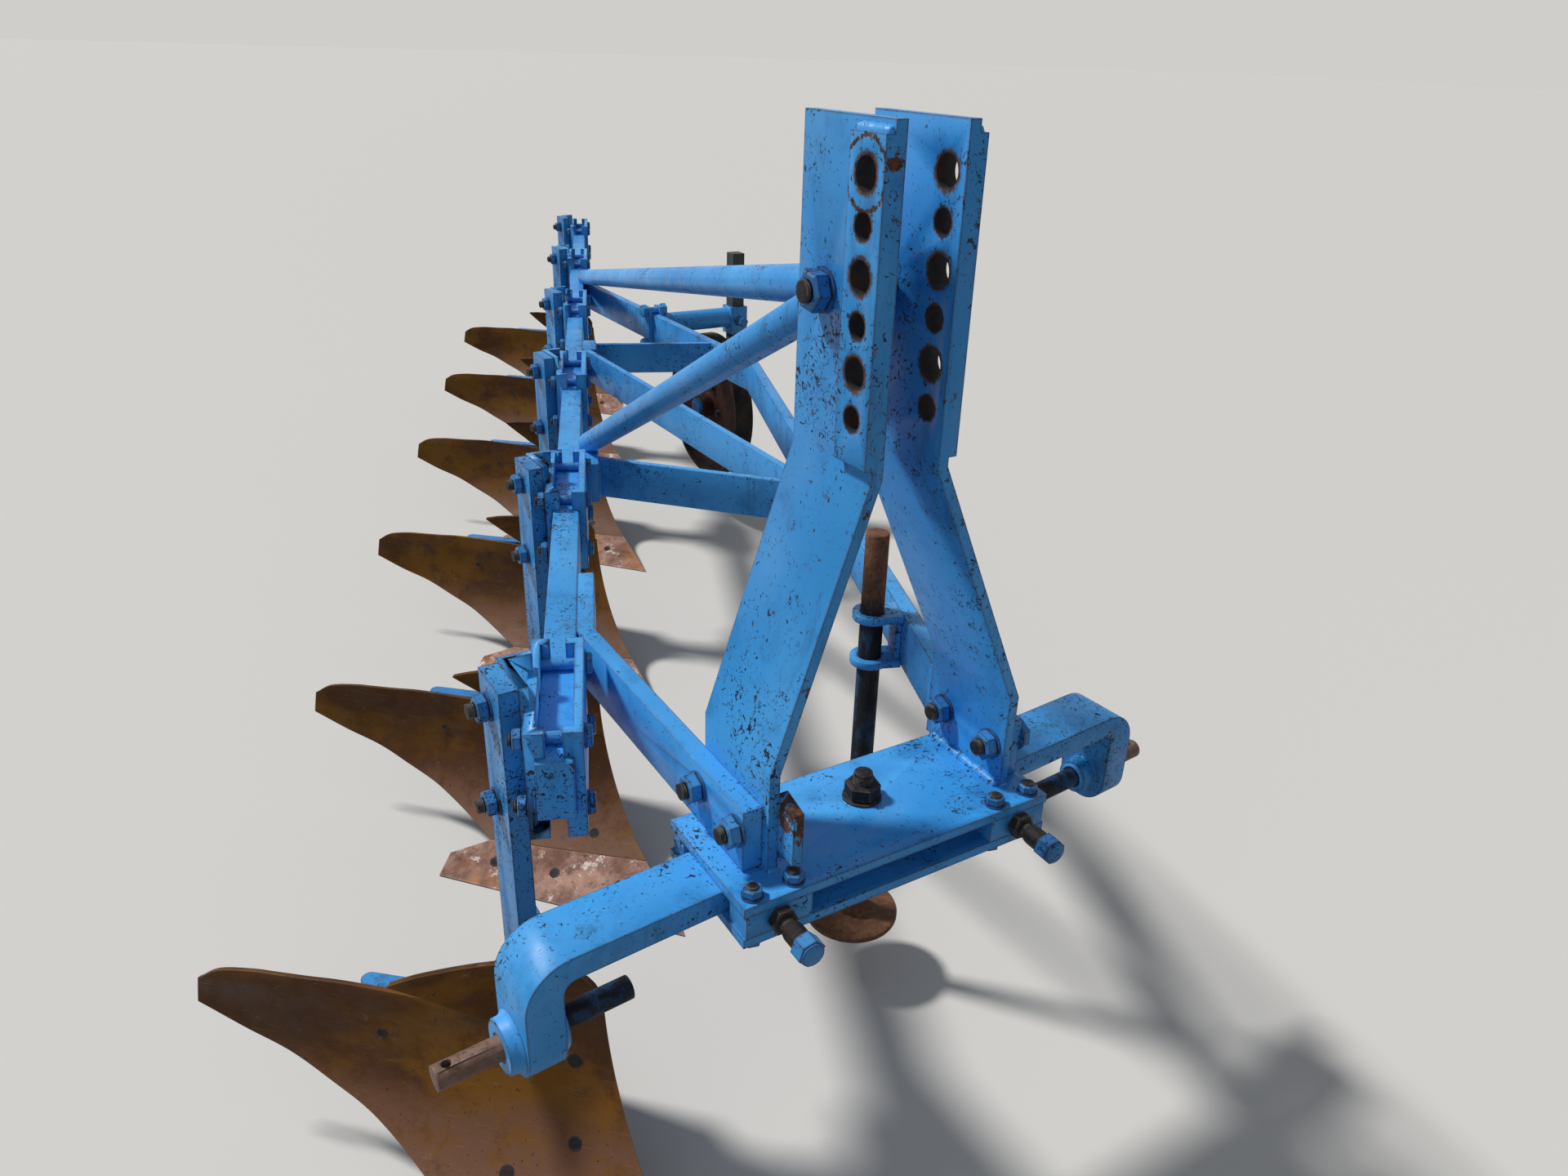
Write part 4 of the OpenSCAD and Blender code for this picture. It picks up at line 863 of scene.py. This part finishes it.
# the wheel's nuts on both sides of its dish, and the set screws of the mast's sleeve
WHEEL_NUTS, NUT_CIRCLE, DISH_HALF = 5, 0.072, 0.008
bm = bmesh.new()
m = Matrix.Translation(axle) @ frame_from(X_AXIS)
for s in (-1, 1):
    f = m @ Matrix.Scale(s, 4, (0, 0, 1))
    for i in range(WHEEL_NUTS):
        a = 2 * math.pi * i / WHEEL_NUTS
        c = f @ Matrix.Translation((NUT_CIRCLE * math.cos(a), NUT_CIRCLE * math.sin(a), DISH_HALF))
        turned(bm, c, [(0.012, -0.002), (0.012, 0.002)], 20)
        hexagon(bm, c, 0.0105, 0.002, 0.011, False, a)
bmesh.ops.recalc_face_normals(bm, faces=bm.faces)
piece("wheel_nuts", bm, BLACK, body="wheel", angle=30)
SLEEVE_HALF, SCREW_Z = 28, 642
bm = bmesh.new()
for side in (-1, 1):
    seat = at(LONG_X + MAST_OFF, ARM_Y + side * SLEEVE_HALF, SCREW_Z)
    m = Matrix.Translation(seat) @ frame_from((0, side, 0))
    hexagon(bm, m, 0.0165, 0, 0.012)
    thread(bm, m, 0.0085, 0.011, 0.022)
    hexagon(bm, m, 0.0150, 0.022, 0.033, True, 0.5)
piece("sleeve_screws", bm, BLUE_BOLT, angle=30)

# ---------------------------------------------------------------- welds
bm = bmesh.new()
for x in (TOP_X - HEAD_HALF, TOP_X + HEAD_HALF):
    weld(bm, at(x, STRIP_BACK, STRIP_LOW), at(x, STRIP_BACK, STRIP_HIGH), 0.0032)
    weld(bm, at(x, HEAD_FRONT + 2, STRIP_HIGH), at(x, STRIP_BACK - 1, STRIP_HIGH), 0.0085)
    weld(bm, at(x, HEAD_FRONT + 2, STRIP_LOW), at(x, STRIP_BACK - 1, STRIP_LOW), 0.0035)
weld(bm, at(LEFT_FOOT, -350, BOX_TOP), at(LEFT_FOOT, -208, BOX_TOP), 0.0055)
weld(bm, at(RIGHT_FOOT, -352, BOX_TOP), at(RIGHT_FOOT, -218, BOX_TOP), 0.0095)
for x in (LEFT_FOOT - HEAD_T, RIGHT_FOOT):
    weld(bm, at(x, HEAD_FRONT, BOX_TOP), at(x + HEAD_T, HEAD_FRONT, BOX_TOP), 0.004)
weld(bm, at(LEFT_FOOT + 12, -352, 616), at(LEFT_FOOT + 12, -352, 700), 0.003)
for k in BODIES:
    for x in (LEG_T + LEG_PLATE_T + 1, LEG_T + 0.5):
        weld(bm, body_at(k, x, 0, 572), body_at(k, x, 0, 738), 0.003)
    for z in (568, 716):
        weld(bm, on_beam(k, BEAM_OFF + 0.5, -104, z), on_beam(k, BEAM_OFF + 0.5, -90, z), 0.0025)
    weld(bm, body_at(k, 47, -70, 270), body_at(k, 47, -100, 270), 0.003)
    weld(bm, body_at(k, 48, -150, 72), body_at(k, 48, 5, 72), 0.003)


def seam(x, y, r=0.0035):
    """Upright bead between two bars of the frame."""
    weld(bm, at(x, y, BEAM_Z + 2), at(x, y, BEAM_Z + 78), r)


def beam_seam(a, l):
    """The same for a seam at a and l, across and along the beam."""
    p = across * a + along * l
    seam(p.x, p.y, 0.003)


for l in (890, 1010, 1800, 1900):
    beam_seam(BEAM_OFF + BEAM_W + 1.5, l)
long_slope = math.atan2(LONG_X - LONG_FROM[0], LONG_KINK - LONG_FROM[1])
for y in (452, 470):
    seam(LONG_FROM[0] - LONG_SIDE / math.cos(long_slope) + (y - LONG_FROM[1]) * math.tan(long_slope), y)
for y in (1535, 1551):
    seam(LONG_X - LONG_SIDE, y)
for l in (920, 942, 1851, 1871):
    beam_seam(BEAM_OFF + BEAM_W + PAD_W + 1, l)
for x, r in ((RIGHT_ARM - ARM_T, 0.024), (RIGHT_ARM - ARM_T - COLLAR_T, 0.0172), (RIGHT_ARM, 0.0172)):
    weld_ring(bm, Matrix.Translation(on_shaft(x, 0, PIN_Z)) @ frame_from(shaft_axis), r, 0.0026, 40)
for x in (LONG_X + 25, LONG_X + MAST_OFF - SLEEVE_HALF):
    weld_ring(bm, Matrix.Translation(at(x, ARM_Y, ARM_Z)) @ frame_from(X_AXIS), 0.031, 0.004)
piece("welds", bm, BEAD, angle=70)
bm = bmesh.new()
for x, side, long in ((-LEFT_ARM, -1, 0.0158), (-LEFT_ARM + ARM_T, 1, 0.0090)):
    m = Matrix.Translation(on_shaft(x, 0, PIN_Z)) @ frame_from(shaft_axis * side)
    turned(bm, m, [(0.0380, -0.001), (0.0345, 0.0030), (0.0320, 0.0065), (0.0315, long - 0.002),
                   (0.0300, long), (0.0165, long), (0.0150, long - 0.002)], 48)
piece("arm_bosses", bm, BLUE_SHAFT, angle=40)


# ---------------------------------------------------------------- stage
def background_rays(t):
    """1 for rays that show the background itself: the camera's, and those in gloss and glass."""
    rays = t.nodes.new("ShaderNodeLightPath")
    total = rays.outputs["Is Camera Ray"]
    for kind in ("Is Glossy Ray", "Is Transmission Ray"):
        m = t.nodes.new("ShaderNodeMath")
        m.operation = "MAXIMUM"
        t.links.new(total, m.inputs[0])
        t.links.new(rays.outputs[kind], m.inputs[1])
        total = m.outputs[0]
    return total


FLOOR_HALF, FLOOR_DROP = 90, 0.0005
FLOOR_LIT, FLOOR_SHOWN = (0.27, 0.268, 0.26), (0.667, 0.662, 0.650)
SKY, SKY_POWER, SKY_SHOWN = (0.90, 0.94, 1.0), 0.22, (0.630, 0.617, 0.592)

s = FLOOR_HALF
floor = bpy.data.meshes.new("floor")
floor.from_pydata([(-s, -s, 0), (s, -s, 0), (s, s, 0), (-s, s, 0)], [], [(0, 1, 2, 3)])
floor_o = bpy.data.objects.new("floor", floor)
bpy.context.scene.collection.objects.link(floor_o)
floor_o.location.z = -FLOOR_DROP
n = Nodes("floor")
floor.materials.append(n.done(n.mix(background_rays(n.t), FLOOR_LIT, FLOOR_SHOWN), 0.85, 0.0, 0.2))

world = bpy.data.worlds.new("studio")
bpy.context.scene.world = world
world.use_nodes = True
t = world.node_tree
sky = t.nodes["Background"]
shown, pick = t.nodes.new("ShaderNodeBackground"), t.nodes.new("ShaderNodeMixShader")
sky.inputs[0].default_value = (*SKY, 1)
sky.inputs[1].default_value = SKY_POWER
shown.inputs[0].default_value = (*SKY_SHOWN, 1)
t.links.new(background_rays(t), pick.inputs[0])
t.links.new(sky.outputs[0], pick.inputs[1])
t.links.new(shown.outputs[0], pick.inputs[2])
t.links.new(pick.outputs[0], t.nodes["World Output"].inputs["Surface"])


def lamp(name, kind, loc, target, energy, size, colour):
    """Lamp at loc that points at target; size is an area's side in metres or the sun's angle."""
    d = bpy.data.lights.new(name, kind)
    d.energy = energy
    d.color = colour
    if kind == "AREA":
        d.size = size
    else:
        d.angle = size
    o = bpy.data.objects.new(name, d)
    bpy.context.scene.collection.objects.link(o)
    o.location = loc
    o.rotation_euler = (Vector(target) - Vector(loc)).to_track_quat("-Z", "Y").to_euler()


lamp("key", "SUN", (-3, 3.3, 5.5), (0, 0, 0), 3.0, math.radians(7), (1, 0.97, 0.92))
lamp("fill", "AREA", (-4, -5, 4), (0, 0, 0.4), 25, 5, (0.92, 0.96, 1))

cam_d = bpy.data.cameras.new("camera")
cam_d.sensor_width = 36
cam_d.lens = 26.0625
cam_d.clip_end = 100
cam = bpy.data.objects.new("camera", cam_d)
bpy.context.scene.collection.objects.link(cam)
eye = at(-321.6, -1212.3, 1440)
right = Vector((0.855526, -0.516815, 0.031255))
down = Vector((-0.200656, -0.386601, -0.900154))
ahead = Vector((0.477296, 0.763834, -0.434449))
rot = Matrix((right, -down, -ahead)).transposed()
cam.matrix_world = Matrix.Translation(eye) @ rot.to_4x4()
bpy.context.scene.camera = cam
bpy.context.scene.view_settings.view_transform = "Standard"

bpy.context.view_layer.update()
